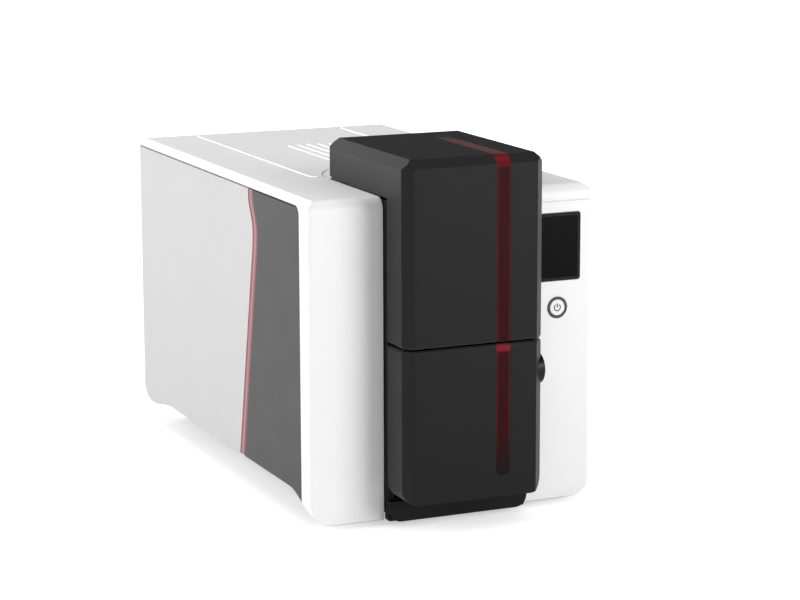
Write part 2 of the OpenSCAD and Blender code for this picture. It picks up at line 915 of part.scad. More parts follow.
module feeder_hood() {
    step_y = -bay_front_t - 0.2;
    housed() color("#2b2b2b") difference() {
        union() {
            difference() {
                hood_body(0, hood_low, hood_back);
                hood_body(column_t, hood_low - over, hood_back - column_t);
                block(-col_x - over, col_x + over, step_y, hood_back + over, hood_low - over, body_h + 0.4);
            }
            both_sides() {
                rod_x(knuckle_x - knuckle_l, knuckle_x, hood_axis_y, hood_axis_z, knuckle_r);
                block(knuckle_x - knuckle_l, knuckle_x, hood_axis_y - 2, hood_axis_y + 2, hood_axis_z,
                    col_top - column_t / 2);
            }
        }
        block(-col_x, col_x, hood_back - column_t - 0.1, hood_back + over, body_h - over, body_h + 2);
        groove_waste(hood_low, 1);
        rod_x(-knuckle_x - over, knuckle_x + over, hood_axis_y, hood_axis_z, hood_pin_r + run_gap);
        difference() {
            stripe_block(inlay_gap, -column_proud - over, stripe_back, hood_low - over, col_top + over);
            hood_body(stripe_t, hood_low - 2 * over, hood_back);
        }
    }
}

module feeder_stripe() {
    housed() color("#5a1a20") difference() {
        intersection() {
            hood_body(0, hood_low, hood_back);
            stripe_block(0, -column_proud - over, stripe_back - inlay_gap, hood_low, col_top + over);
        }
        hood_body(stripe_t, hood_low - 2 * over, hood_back);
        groove_waste(hood_low, 1);
    }
}

module hood_hinge_pin() {
    housed() color("silver") rod_x(-hood_lug_x1, hood_lug_x1, hood_axis_y, hood_axis_z, hood_pin_r);
}

module bay_frame() {
    housed() color("#202020") difference() {
        union() {
            difference() {
                along_y(-bay_front_t, 0) round_rect(-bay_x, bay_x, 0, bay_top, 1.5);
                block(-ring_x, ring_x, -bay_front_t - over, over, ring_low, ring_high);
            }
            along_y(-plinth_proud, -bay_front_t) plinth_outline();
            both_sides() {
                block(cheek_in, bay_x, -eps, cheek_back, keel_t, bay_top);
                block(hood_lug_x0, cheek_in + eps, hood_axis_y - 12, hood_axis_y - 6.5, body_h - 15,
                    bay_top);
                block(hood_lug_x0, hood_lug_x1, hood_axis_y - 12, hood_axis_y - 6.5, bay_top - eps,
                    hood_axis_z + hood_lug_r);
                block(hood_lug_x0, hood_lug_x1, hood_axis_y - 8, hood_axis_y, hood_axis_z - hood_lug_r,
                    hood_axis_z + hood_lug_r);
                rod_x(hood_lug_x0, hood_lug_x1, hood_axis_y, hood_axis_z, hood_lug_r);
            }
            block(-bay_x, bay_x, cheek_back - 3, cheek_back, keel_t, ring_low);
            block(-bay_x, bay_x, keel_y + keel_t, cheek_back, keel_t, keel_t + 3);
        }
        block(-bay_x - over, bay_x + over, -eps, keel_y + keel_t + 0.3, -over, side_z + 2 * keel_t);
        rod_x(-bay_x - over, bay_x + over, hood_axis_y, hood_axis_z, hood_pin_r);
        rod_x(-bay_x - over, bay_x + over, pick_y, pick_z, pick_shaft_r + run_gap);
    }
}

module plinth_outline() {
    difference() {
        rect(-bay_x, bay_x, 0, ring_low - 1.4);
        corner_waste(-bay_x, 0, 1, 1, plinth_r);
        corner_waste(bay_x, 0, -1, 1, plinth_r);
    }
}

module card_magazine() {
    x1 = magazine_x + magazine_t;
    z0 = magazine_floor - magazine_t;
    high = magazine_floor + magazine_h;
    housed() color("dimgray") difference() {
        union() {
            block(-x1, x1, magazine_y0 - magazine_t, magazine_y1 + magazine_t, z0, high);
            block(-cheek_in, cheek_in, 2, magazine_y1 + magazine_t, z0, magazine_floor);
        }
        block(-magazine_x, magazine_x, magazine_y0, magazine_y1, magazine_floor, high + over);
        block(-magazine_x - over, magazine_x + over, magazine_y1 - eps,
            magazine_y1 + magazine_t + over, magazine_floor, magazine_floor + 2 * card_t);
        block(-card_w / 4, card_w / 4, magazine_y0 - over, magazine_y0 + eps, magazine_floor + 4,
            high + over);
        block(-pick_l / 2 - 6, pick_l / 2 + 6, pick_y - roller_r - 2, pick_y + roller_r + 2, z0 - over,
            magazine_floor + over);
    }
}

module card_weight() {
    g = card_gap;
    z0 = card_z + 1.4;
    housed() color("gray") {
        block(-magazine_x + g, magazine_x - g, magazine_y0 + g, magazine_y1 - g, z0, z0 + 4);
        block(-8, 8, magazine_y0 + 12, magazine_y1 - 12, z0 + 4, z0 + weight_t);
    }
}

// The hopper door as one full body, its front and sides set in by i
module door_body(i, y1) {
    x = col_x - i;
    intersection() {
        along_z(door_z + i, door_top) column_plan(i, y1);
        along_y(-column_proud - over, y1 + over) difference() {
            rect(-x, x, door_z + i, door_top);
            corner_waste(-x, door_z + i, 1, 1, door_corner_r - i);
            corner_waste(x, door_z + i, -1, 1, door_corner_r - i);
        }
    }
}

module hopper_door() {
    y1 = -bay_front_t - 0.2;
    housed() color("#2b2b2b") difference() {
        door_body(0, y1);
        difference() {
            union() {
                door_body(column_t, y1 + over);
                block(-col_x + column_t, col_x - column_t, -column_proud + column_t + edge_flat,
                    y1 + over, door_z + over, door_top + over);
                block(-col_x + column_t + edge_flat, col_x - column_t - edge_flat,
                    -column_proud + column_t, y1 + over, door_z + over, door_top + over);
            }
            release_guide();
        }
        block(-col_x - over, col_x + over, -column_proud + column_t, y1 + over, -over, door_z + 2.9);
        difference() {
            block(-col_x - over, col_x + over, door_axis_y, y1 + over, -over, door_axis_z);
            rod_x(-col_x - 2 * over, col_x + 2 * over, door_axis_y, door_axis_z, door_swing_r);
        }
        groove_waste(door_top, -1);
        rod_x(-door_pin_x - 0.2, door_pin_x + 0.2, door_axis_y, door_axis_z, door_pin_r + run_gap);
        rod_x(col_x - 14, col_x + over, release_y, release_z, release_r + 0.3);
        stripe_groove(inlay_gap, stripe_t);
    }
}

// A short inner wall that the release button slides in
module release_guide() {
    difference() {
        rod_x(col_x - 9, col_x - column_t + eps, release_y, release_z, release_r + 1.8);
        block(0, col_x, -column_proud - over, -column_proud + column_t, 0, split_z);
    }
}

module stripe_groove(g, t) {
    r = stripe_w / 2;
    along_y(-column_proud - over, -column_proud + t) union() {
        rect(stripe_x - r - g, stripe_x + r + g, stripe_low + r, door_top + over);
        translate([stripe_x, stripe_low + r]) circle(r + g);
    }
}

module hopper_stripe() {
    housed() color("#4a1a20") difference() {
        intersection() {
            door_body(0, 0);
            stripe_groove(0, stripe_t);
        }
        groove_waste(door_top, -1);
    }
}

module hopper_release() {
    rim_x = col_x + release_rim;
    dome_h = release_proud - release_rim;
    dome_r = (release_r * release_r + dome_h * dome_h) / (2 * dome_h);
    housed() color("#1c1c1c") translate([rim_x, release_y, release_z]) rotate([0, 90, 0]) rotate_extrude() {
        intersection() {
            translate([0, dome_h - dome_r]) circle(dome_r, $fn = 96);
            rect(0, release_r, -release_rim - 7, dome_h + 1);
        }
    }
}

module hopper_tray() {
    x1 = col_x - door_corner_r - 0.5;
    floor_z = ring_low;
    y0 = -column_proud + 7;
    y1 = cheek_back - 6;
    guide_x = card_w / 2 + 2;
    high = split_z - 22;
    housed() color("#303030") difference() {
        union() {
            block(-x1, x1, y0, y1 + 6, floor_z, floor_z + 3);
            both_sides() {
                block(guide_x, guide_x + 2, 2, y1, floor_z, high);
                block(guide_x, x1, 2, 4, floor_z, floor_z + 20);
                block(x1 - 4, x1, door_axis_y - 5, door_axis_y + 5, floor_z, door_axis_z + 5);
            }
            block(-guide_x, guide_x, y1 - 2, y1, floor_z, high);
        }
        rod_x(-col_x, col_x, door_axis_y, door_axis_z, door_pin_r);
    }
}

module door_hinge_pins() {
    housed() color("silver") both_sides() {
        rod_x(col_x - door_corner_r - 4.5, door_pin_x, door_axis_y, door_axis_z, door_pin_r);
    }
}

// ---- Controls ----

module display_bezel() {
    z0 = display_mid_z - display_h / 2;
    z1 = display_mid_z + display_h / 2;
    rim = 2.2;
    housed() color("#161616") difference() {
        along_y(-0.5, shell_t) round_rect(display_x0, display_x1, z0, z1, display_r);
        along_y(-0.5 - over, 0.7) round_rect(display_x0 + rim, display_x1 - rim, z0 + rim, z1 - rim, 1);
        block(display_x0 + 5, display_x1 - 5, -over, shell_t + over, z0 + 5, z1 - 5);
    }
}

module display_glass() {
    rim = 2.2 + inlay_gap;
    housed() color("#1c1c1c") along_y(-0.4, 0.7) {
        round_rect(display_x0 + rim, display_x1 - rim, display_mid_z - display_h / 2 + rim,
            display_mid_z + display_h / 2 - rim, 1);
    }
}

module display_module() {
    housed() color("silver") {
        block(display_x0 + 1, display_x1 - 1, shell_t, control_y, display_mid_z - display_h / 2 + 1,
            display_mid_z + display_h / 2 - 1);
    }
}

module control_board() {
    housed() color("seagreen") {
        block(display_x0, display_x1 + 3, control_y, control_y + board_t, button_z - 12,
            display_mid_z + display_h / 2 + 3);
        rod_y(button_mid_x, button_z, control_y - 1.2, control_y, 3);
    }
}

module power_ring() {
    housed() color("#404040") difference() {
        rod_y(button_mid_x, button_z, -0.4, shell_t + 1, ring_r);
        rod_y(button_mid_x, button_z, -over, shell_t + over, button_r + 0.15);
        rod_y(button_mid_x, button_z, shell_t, shell_t + over, ring_r - 0.4);
    }
}

module power_button() {
    housed() color("white") {
        rod_y(button_mid_x, button_z, -0.3, control_y - 1.4 - button_travel, button_r);
    }
}

// ---- Print engine ----

module chassis_plate_left() {
    difference() {
        block(-plate_out, -plate_in, plate_y0, plate_y1, keel_t, plate_top);
        for (y = [entry_y, platen_mid_y, exit_y])
            rod_x(-plate_out - over, -plate_in + over, y, roller_z, shaft_r + run_gap);
        for (y = [entry_y, exit_y]) rod_x(-plate_out - over, -plate_in + over, y, pinch_z, 2 + run_gap);
        for (y = [front_bar_y, rear_bar_y]) rod_x(-plate_out - over, -plate_in + over, y, bar_z, bar_r);
        for (y = [plate_y0 + 15, plate_y1 - 15])
            rod_x(-plate_out - over, -plate_in + over, y, low_bar_z, bar_r);
        for (y = [takeup_y, supply_y]) {
            block(-plate_out - over, -plate_in + over, y - 5, y + 5, spool_z - 14, plate_top + over);
        }
        for (y = [plate_y0 + 45, exit_y - 6]) along_x(-plate_out - over, -plate_in + over) {
            round_rect(y - 18, y + 18, 50, 92, 6);
        }
    }
}

module left_chassis_plate() {
    housed() color("silver") chassis_plate_left();
}

module right_chassis_plate() {
    housed() color("silver") difference() {
        mirror([1, 0, 0]) chassis_plate_left();
        rod_x(plate_in - over, plate_out + over, platen_mid_y, pinion_z, 11);
    }
}

module chassis_bars() {
    housed() color("silver") {
        for (y = [front_bar_y, rear_bar_y]) rod_x(-plate_out, plate_out, y, bar_z, bar_r);
        for (y = [plate_y0 + 15, plate_y1 - 15]) rod_x(-plate_out, plate_out, y, low_bar_z, bar_r);
    }
}

module card_guide() {
    half_l = roller_l / 2 + 2;
    housed() color("#3a3a3a") difference() {
        block(-plate_in, plate_in, plate_y0 + 2, plate_y1 - 4, guide_z - guide_t, guide_z);
        for (y = [entry_y, platen_mid_y, exit_y]) {
            block(-half_l, half_l, y - roller_r - 1, y + roller_r + 1, guide_z - guide_t - over,
                guide_z + over);
        }
    }
}

// A rubber roller on its shaft
module roller(y, z, r, half_l, x0, x1, pin) {
    rod_x(-half_l, half_l, y, z, r);
    rod_x(x0, x1, y, z, pin);
}

module pick_roller() {
    housed() color("#333333") roller(pick_y, pick_z, roller_r, pick_l / 2, -bay_x, bay_x, pick_shaft_r);
}

module entry_roller() {
    housed() color("#333333") roller(entry_y, roller_z, roller_r, roller_l / 2, -plate_out - 2,
        pulley_x + pulley_w, shaft_r);
}

module platen_roller() {
    housed() color("#333333") roller(platen_mid_y, roller_z, roller_r, roller_l / 2, -plate_out - 2,
        gear_x + gear_w, shaft_r);
}

module exit_roller() {
    housed() color("#333333") roller(exit_y, roller_z, roller_r, roller_l / 2, -plate_out - 2,
        pulley_x + pulley_w, shaft_r);
}

module entry_pinch_roller() {
    housed() color("#555555") roller(entry_y, pinch_z, pinch_r, roller_l / 2, -plate_out - 1,
        plate_out + 1, 2);
}

module exit_pinch_roller() {
    housed() color("#555555") roller(exit_y, pinch_z, pinch_r, roller_l / 2, -plate_out - 1,
        plate_out + 1, 2);
}

// A toothed belt pulley with a flange on its outer side, pressed on a roller shaft
module pulley(y) {
    difference() {
        union() {
            rod_x(pulley_x, pulley_x + pulley_w, y, roller_z, pulley_r);
            rod_x(pulley_x - 1, pulley_x, y, roller_z, pulley_r + belt_t + 0.8);
        }
        rod_x(pulley_x - over, pulley_x + pulley_w + over, y, roller_z, shaft_r);
    }
}

module entry_pulley() {
    housed() color("gray") pulley(entry_y);
}

module platen_pulley() {
    housed() color("gray") pulley(platen_mid_y);
}

module exit_pulley() {
    housed() color("gray") pulley(exit_y);
}

module belt_outline(r) {
    rect(entry_y, exit_y, roller_z - r, roller_z + r);
    for (y = [entry_y, exit_y]) translate([y, roller_z]) circle(r);
}

module drive_belt() {
    housed() color("#222222") along_x(pulley_x + 0.3, pulley_x + pulley_w - 0.3) difference() {
        belt_outline(pulley_r + 0.15 + belt_t);
        belt_outline(pulley_r + 0.15);
    }
}

// A spur gear's outline with straight-sided teeth, one tooth upwards
module gear_outline(teeth) {
    pitch_r = gear_m * teeth / 2;
    root_r = pitch_r - 1.25 * gear_m;
    tip_r = pitch_r + 0.8 * gear_m;
    tooth_w = (PI / 2 - 0.3) * gear_m;
    slope = 0.36;
    w_root = tooth_w + 2 * slope * 1.35 * gear_m;
    w_tip = tooth_w - 2 * slope * 0.8 * gear_m;
    circle(root_r);
    for (k = [0:teeth - 1]) rotate(k * 360 / teeth) {
        polygon([[-w_root / 2, root_r - 0.1 * gear_m], [w_root / 2, root_r - 0.1 * gear_m], [w_tip / 2,
            tip_r], [-w_tip / 2, tip_r]]);
    }
}

module drive_gear() {
    // half a tooth on, so that a gap faces the pinion below
    turn = gear_teeth % 2 == 0 ? 180 / gear_teeth : 0;
    housed() color("ivory") along_x(gear_x, gear_x + gear_w) translate([platen_mid_y,
        roller_z]) difference() {
        rotate(turn) gear_outline(gear_teeth);
        circle(shaft_r);
        for (k = [0:5]) rotate(60 * k) translate([gear_m * gear_teeth * 0.3, 0]) circle(4);
    }
}

module motor_pinion() {
    housed() color("gold") {
        along_x(gear_x, gear_x + gear_w) translate([platen_mid_y, pinion_z]) gear_outline(pinion_teeth);
        rod_x(plate_in + 0.3, gear_x, platen_mid_y, pinion_z, 2.5);
    }
}

module drive_motor() {
    y0 = platen_mid_y - motor_w / 2;
    z0 = pinion_z - motor_w / 2;
    housed() color("darkgray") {
        difference() {
            block(plate_in - motor_l, plate_in, y0, y0 + motor_w, z0, z0 + motor_w);
            for (y = [y0, y0 + motor_w]) for (z = [z0, z0 + motor_w]) translate([0, y, z]) {
                rotate([45, 0, 0]) cube([2 * plate_in + over, 5, 5], center = true);
            }
        }
        difference() {
            rod_x(plate_in - eps, plate_out, platen_mid_y, pinion_z, 10.8);
            rod_x(plate_in + 0.1, plate_out + over, platen_mid_y, pinion_z, 2.5 + run_gap);
        }
    }
}

// ---- Ribbon ----

module ribbon_cassette() {
    housed() color("#e8e8e8") {
        both_sides() difference() {
            block(cassette_x - cassette_t, cassette_x, cassette_y0, cassette_y1, cassette_low,
                cassette_high);
            block(cassette_x - over, cassette_x + over, takeup_y + 2 * takeup_r,
                supply_y - supply_r - 10, cassette_low + 12, cassette_high + over);
            for (y = [takeup_y, supply_y])
                rod_x(cassette_x - over, cassette_x + over, y, spool_z, spool_pin_r + run_gap);
        }
        both_sides() for (d = [-guide_rod_far, guide_rod_far]) {
            block(cassette_x - cassette_t, cassette_x, platen_mid_y + d - 3, platen_mid_y + d + 3,
                head_z, cassette_low + eps);
        }
        for (d = [-guide_rod_far, guide_rod_far]) {
            rod_x(-cassette_x + 1, cassette_x - 1, platen_mid_y + d, film_z + film_t + guide_rod_r,
                guide_rod_r);
        }
        for (y = [cassette_y0 + 2.6, cassette_y1 - 2.6]) {
            rod_x(-cassette_x + 1, cassette_x - 1, y, cassette_high - 2.6, 2.5);
        }
    }
}

module spool(y, r) {
    rod_x(-ribbon_w / 2, ribbon_w / 2, y, spool_z, r);
    rod_x(-cassette_x + cassette_t + 0.6, cassette_x - cassette_t - 0.6, y, spool_z, 8);
    rod_x(-cassette_x - 2, cassette_x + 2, y, spool_z, spool_pin_r);
}

module supply_spool() {
    housed() color("#3b2f5c") spool(supply_y, supply_r);
}

module takeup_spool() {
    housed() color("#4a3a2c") spool(takeup_y, takeup_r);
}

// Direction of the line's normal where a film runs under a rod at p and under a roll
// at q; side is 1 where the roll lies to the left of the rod and -1 to the right
function film_normal(p, rod_r, q, roll_r, side) =
    let (d = q - p)
    atan2(d[1], d[0]) + side * acos((rod_r - roll_r) / norm(d));

function polar(c, r, a) = c + r * [cos(a), sin(a)];

// The film's path, e outside the surfaces that it runs on
function film_path(e) =
    let (
        steps = 6,
        rod_r = guide_rod_r + e,
        rod_z = film_z + film_t + guide_rod_r,
        p = [platen_mid_y - guide_rod_far, rod_z],
        q = [platen_mid_y + guide_rod_far, rod_z],
        from = [takeup_y, spool_z],
        to = [supply_y, spool_z],
        from_r = takeup_r + 0.3,
        to_r = supply_r + 0.3,
        a = film_normal(p, guide_rod_r, from, from_r, 1),
        b = film_normal(q, guide_rod_r, to, to_r, -1)
    )
    concat([polar(from, from_r + e, a)],
        [for (k = [0:steps]) polar(p, rod_r, a + (270 - a) * k / steps)],
        [for (k = [0:steps]) polar(q, rod_r, -90 + (b + 90) * k / steps)],
        [polar(to, to_r + e, b)]);

module ribbon_film() {
    near = film_path(0);
    far = film_path(film_t);
    back = [for (k = [len(far) - 1:-1:0]) far[k]];
    housed() color("#6a4a80") along_x(-ribbon_w / 2, ribbon_w / 2) polygon(concat(near, back));
}

// ---- Electronics ----

module main_board() {
    y0 = plate_y0 + 10;
    y1 = plate_y1 - 10;
    z0 = 22;
    z1 = plate_top - 6;
    mid_y = (y0 + y1) / 2;
    plug_step = (y1 - y0) / 5;
    face_x = board_x - board_t;
    housed() color("seagreen") {
        block(face_x, board_x, y0, y1, z0, z1);
        for (y = [y0 + 8, y1 - 8]) for (z = [z0 + 8, z1 - 8]) rod_x(board_x - eps, -plate_out, y, z, 2.5);
        for (k = [0:3])
            translate([0, y0 + plug_step * (k + 0.5), 0]) block(face_x - 8, face_x + eps, 0, 18,
                z0 + 20, z0 + 32);
        block(face_x - 2, face_x + eps, mid_y - 28, mid_y, z0 + 60, z0 + 88);
        for (k = [0:2]) rod_x(face_x - 14, face_x + eps, y1 - 30, z0 + 50 + 18 * k, 6);
    }
}

outer_shell();
base_tray();
rubber_feet();
left_side_panel();
right_side_panel();
left_accent_panel();
right_accent_panel();
left_pinstripe();
right_pinstripe();
rear_panel();
rear_screws();
top_lid();
lid_hinge_pins();
bay_frame();
feeder_hood();
feeder_stripe();
hood_hinge_pin();
card_magazine();
card_weight();
hopper_door();
hopper_stripe();
hopper_release();
hopper_tray();
door_hinge_pins();
display_bezel();
display_glass();
display_module();
control_board();
power_ring();
power_button();
left_chassis_plate();
right_chassis_plate();
chassis_bars();
card_guide();
pick_roller();
entry_roller();
platen_roller();
exit_roller();
entry_pinch_roller();
exit_pinch_roller();
entry_pulley();
platen_pulley();
exit_pulley();
drive_belt();
drive_gear();
motor_pinion();
drive_motor();
ribbon_cassette();
supply_spool();
takeup_spool();
ribbon_film();
head_bracket();
print_head();
main_board();
fan_housing();
fan_rotor();
power_socket();
usb_socket();
network_socket();
reject_bezel();
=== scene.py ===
"""Looks of a desktop id card printer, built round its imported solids.

Lengths are in metres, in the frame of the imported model: x across the printer, y back
from its front, z up from the floor. Sizes come from the solids' own boxes.
"""

from __future__ import annotations

import logging
import math
from dataclasses import dataclass
from enum import Enum
from typing import Iterable, Sequence

import bmesh
import bpy
from mathutils import Matrix, Vector


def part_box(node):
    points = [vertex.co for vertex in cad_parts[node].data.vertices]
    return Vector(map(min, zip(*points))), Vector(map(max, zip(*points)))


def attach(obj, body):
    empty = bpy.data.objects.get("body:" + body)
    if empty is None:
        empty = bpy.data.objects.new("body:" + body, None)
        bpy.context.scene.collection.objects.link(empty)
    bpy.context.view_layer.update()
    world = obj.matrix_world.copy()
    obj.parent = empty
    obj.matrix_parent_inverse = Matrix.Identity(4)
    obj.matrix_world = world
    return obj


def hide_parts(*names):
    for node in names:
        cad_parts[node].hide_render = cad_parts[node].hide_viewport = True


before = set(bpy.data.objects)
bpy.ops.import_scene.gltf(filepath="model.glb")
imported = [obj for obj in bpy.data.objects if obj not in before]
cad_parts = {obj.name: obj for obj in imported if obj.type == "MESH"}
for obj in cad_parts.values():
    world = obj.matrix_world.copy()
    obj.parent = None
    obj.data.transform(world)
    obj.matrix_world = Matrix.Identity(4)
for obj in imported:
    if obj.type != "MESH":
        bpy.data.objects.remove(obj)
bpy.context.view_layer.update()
MM = 0.001
LOG = logging.getLogger("card_printer")

Mesh = bmesh.types.BMesh
Socket = bpy.types.NodeSocket
Colour = tuple[float, float, float, float]


class Axis(Enum):
    """Direction that a turned or drawn-out shape runs along."""

    X = 0
    Y = 1
    Z = 2

    def matrix(self) -> Matrix:
        """Return the turn that brings +Z onto this axis."""
        if self is Axis.X:
            return Matrix.Rotation(math.pi / 2, 4, "Y")
        if self is Axis.Y:
            return Matrix.Rotation(-math.pi / 2, 4, "X")
        return Matrix.Identity(4)


class Body(Enum):
    """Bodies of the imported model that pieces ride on."""

    HOUSING = "housing"
    LID = "lid"
    HOOD = "hood"
    DOOR = "door"
    POWER_KEY = "power_key"
    WEIGHT = "weight"
    PLATEN = "platen"
    ENTRY = "entry"
    EXIT = "exit"
    PICK = "pick"
    SUPPLY = "supply"
    TAKEUP = "takeup"
    FAN = "fan"


def linear(code: str) -> Colour:
    """Turn a written colour into the shader's linear values.

    Args:
        code: Six hexadecimal digits, as seen on a screen.

    Returns:
        Red, green, blue and alpha.
    """
    parts = [int(code[k:k + 2], 16) / 255 for k in (0, 2, 4)]
    bent = [c / 12.92 if c <= 0.04045 else ((c + 0.055) / 1.055) ** 2.4 for c in parts]
    return bent[0], bent[1], bent[2], 1.0


def shaded(colour: Colour, factor: float, lift: float = 0.0) -> Colour:
    """Return a darker or lighter colour.

    Args:
        colour: Linear colour to start from.
        factor: What its red, green and blue are multiplied by.
        lift: What is then added to them.

    Returns:
        The new linear colour.
    """
    red, green, blue = (min(c * factor + lift, 1.0) for c in colour[:3])
    return red, green, blue, 1.0


def in_mm(*pairs: tuple[float, float]) -> list[tuple[float, float]]:
    """Return the points of a turned profile, written in millimetres, in metres."""
    return [(radius * MM, along * MM) for radius, along in pairs]


def points(node: str) -> list[Vector]:
    """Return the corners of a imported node's faces at rest."""
    return [vert.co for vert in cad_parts[node].data.vertices]


@dataclass(frozen=True)
class Box:
    """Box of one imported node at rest."""

    low: Vector
    high: Vector

    @classmethod
    def of(cls, node: str) -> Box:
        """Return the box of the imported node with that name."""
        low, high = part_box(node)
        return cls(low, high)

    @property
    def mid(self) -> Vector:
        """Middle of the box."""
        return (self.low + self.high) / 2

    @property
    def size(self) -> Vector:
        """Edge lengths of the box."""
        return self.high - self.low

    @property
    def axle(self) -> Vector:
        """Point at x = 0 on the line along x through the middle of the box."""
        return Vector((0, self.mid.y, self.mid.z))


class Nodes:
    """Node tree that grows by small calls."""

    def __init__(self, tree: bpy.types.NodeTree) -> None:
        """Take the node tree that grows."""
        self.tree = tree

    def add(self, kind: str, **settings: object) -> bpy.types.Node:
        """Add a node and set its properties.

        Args:
            kind: Blender's name of the node type.
            settings: Properties of the node by name.

        Returns:
            The new node.
        """
        made = self.tree.nodes.new(kind)
        for key, value in settings.items():
            setattr(made, key, value)
        return made

    def join(self, source: Socket, target: Socket) -> None:
        """Link two sockets."""
        self.tree.links.new(source, target)

    def feed(self, value: object, target: Socket) -> None:
        """Give a socket a plain value or what another socket holds.

        Args:
            value: Number, colour or socket.
            target: Socket that takes it.
        """
        if isinstance(value, (int, float, tuple)):
            target.default_value = value
        else:
            self.join(value, target)

    def math(self, kind: str, *values: object) -> Socket:
        """Add a Math node.

        Args:
            kind: Operation, as Blender names it.
            values: Numbers or sockets, in order.

        Returns:
            The result's socket.
        """
        made = self.add("ShaderNodeMath", operation=kind)
        for k, value in enumerate(values):
            self.feed(value, made.inputs[k])
        return made.outputs[0]

    def part(self, source: Socket, axis: Axis) -> Socket:
        """Return one part of a vector."""
        split = self.add("ShaderNodeSeparateXYZ")
        self.join(source, split.inputs[0])
        return split.outputs[axis.value]

    def spread(self, value: Socket, span: Sequence[float], ends: Sequence[object],
               kind: str = "LINEAR") -> Socket:
        """Carry a value over from its own span to another one.

        Args:
            value: What is carried over.
            span: Values that the two ends stand for.
            ends: Number or socket at each end.
            kind: Way from one end to the other, as Blender names it.

        Returns:
            The result's socket.
        """
        made = self.add("ShaderNodeMapRange", interpolation_type=kind)
        self.join(value, made.inputs["Value"])
        for name, given in zip(("From Min", "From Max", "To Min", "To Max"), (*span, *ends)):
            self.feed(given, made.inputs[name])
        return made.outputs["Result"]

    def step(self, value: Socket, start: float, end: float) -> Socket:
        """Rise smoothly from 0 at start to 1 at end.

        Args:
            value: What is compared.
            start: Value at which the rise starts.
            end: Value at which it ends.

        Returns:
            A number from 0 to 1.
        """
        return self.spread(value, (start, end), (0.0, 1.0), "SMOOTHSTEP")

    def seen(self) -> Socket:
        """Return 1 for rays that show a surface or mirror it, and 0 for those that only carry its light."""
        rays = self.add("ShaderNodeLightPath").outputs
        widest = rays["Is Camera Ray"]
        for name in ("Is Glossy Ray", "Is Transmission Ray"):
            widest = self.math("MAXIMUM", widest, rays[name])
        return widest


class Shader(Nodes):
    """Material with a Principled surface."""

    def __init__(self, name: str) -> None:
        """Start an empty material.

        Args:
            name: Name of the material.
        """
        self.material = bpy.data.materials.new(name)
        self.material.use_nodes = True
        super().__init__(self.material.node_tree)
        self.tree.nodes.clear()
        self.surface = self.add("ShaderNodeBsdfPrincipled")
        out = self.add("ShaderNodeOutputMaterial")
        self.join(self.surface.outputs[0], out.inputs["Surface"])
        self.place = self.add("ShaderNodeTexCoord").outputs["Object"]

    def axis(self, axis: Axis) -> Socket:
        """Return the place along one axis, in metres."""
        return self.part(self.place, axis)

    def facing(self, axis: Axis) -> Socket:
        """Return how squarely the surface faces along one axis, from 0 to 1."""
        normal = self.add("ShaderNodeNewGeometry").outputs["Normal"]
        return self.math("ABSOLUTE", self.part(normal, axis))

    def noise(self, size: float, detail: float = 2.0, stretch: Sequence[float] | None = None) -> Socket:
        """Add soft noise.

        Args:
            size: Size of its blobs in metres.
            detail: Number of finer layers.
            stretch: How much longer the blobs are along each axis.

        Returns:
            A number from 0 to 1.
        """
        made = self.add("ShaderNodeTexNoise")
        made.inputs["Scale"].default_value = 1 / size
        made.inputs["Detail"].default_value = detail
        place = self.place
        if stretch is not None:
            mapping = self.add("ShaderNodeMapping")
            mapping.inputs["Scale"].default_value = [1 / v for v in stretch]
            self.join(place, mapping.inputs["Vector"])
            place = mapping.outputs["Vector"]
        self.join(place, made.inputs["Vector"])
        return made.outputs["Fac"]

    def blend(self, factor: object, low: object, high: object) -> Socket:
        """Mix two colours.

        Args:
            factor: Number or socket, 0 for low and 1 for high.
            low: Colour or socket.
            high: Colour or socket.

        Returns:
            The mixed colour's socket.
        """
        made = self.add("ShaderNodeMix", data_type="RGBA", blend_type="MIX")
        for k, value in ((0, factor), (6, low), (7, high)):
            self.feed(value, made.inputs[k])
        return made.outputs[2]

    def normal(self, height: Socket | None, depth: float, edge: float) -> None:
        """Give the surface fine relief and softly broken edges.

        Args:
            height: Relief from 0 to 1, or none.
            depth: Depth of the relief in metres.
            edge: Radius of the broken edges in metres, or 0.
        """
        turned = None
        if edge > 0:
            bevel = self.add("ShaderNodeBevel", samples=4)
            bevel.inputs["Radius"].default_value = edge
            turned = bevel.outputs[0]
        if height is not None:
            bump = self.add("ShaderNodeBump")
            bump.inputs["Strength"].default_value = 1.0
            bump.inputs["Distance"].default_value = depth
            self.join(height, bump.inputs["Height"])
            if turned is not None:
                self.join(turned, bump.inputs["Normal"])
            turned = bump.outputs[0]
        if turned is not None:
            self.join(turned, self.surface.inputs["Normal"])

    def set(self, **values: object) -> None:
        """Set or feed the Principled shader's own sockets; an underscore stands for a space."""
        for key, value in values.items():
            self.feed(value, self.surface.inputs[key.replace("_", " ")])

    def colour(self, source: Socket) -> None:
        """Feed the surface's base colour."""
        self.join(source, self.surface.inputs["Base Color"])

    def roughness(self, least: float, pattern: Socket, share: float) -> None:
        """Let the surface's roughness vary.

        Args:
            least: Roughness where the pattern is 0.
            pattern: Number from 0 to 1 at each place.
            share: What is added where the pattern is 1.
        """
        varied = self.math("ADD", self.math("MULTIPLY", pattern, share), least)
        self.join(varied, self.surface.inputs["Roughness"])


@dataclass(frozen=True)
class Finish:
    """A finish that makes its material when it is first used."""

    name: str
    slot: str

    def shader(self) -> Shader:
        """Build the finish's node tree."""
        raise NotImplementedError

    def material(self) -> bpy.types.Material:
        """Return the finish's material, made once."""
        known = bpy.data.materials.get(self.name)
        return known if known is not None else self.shader().material


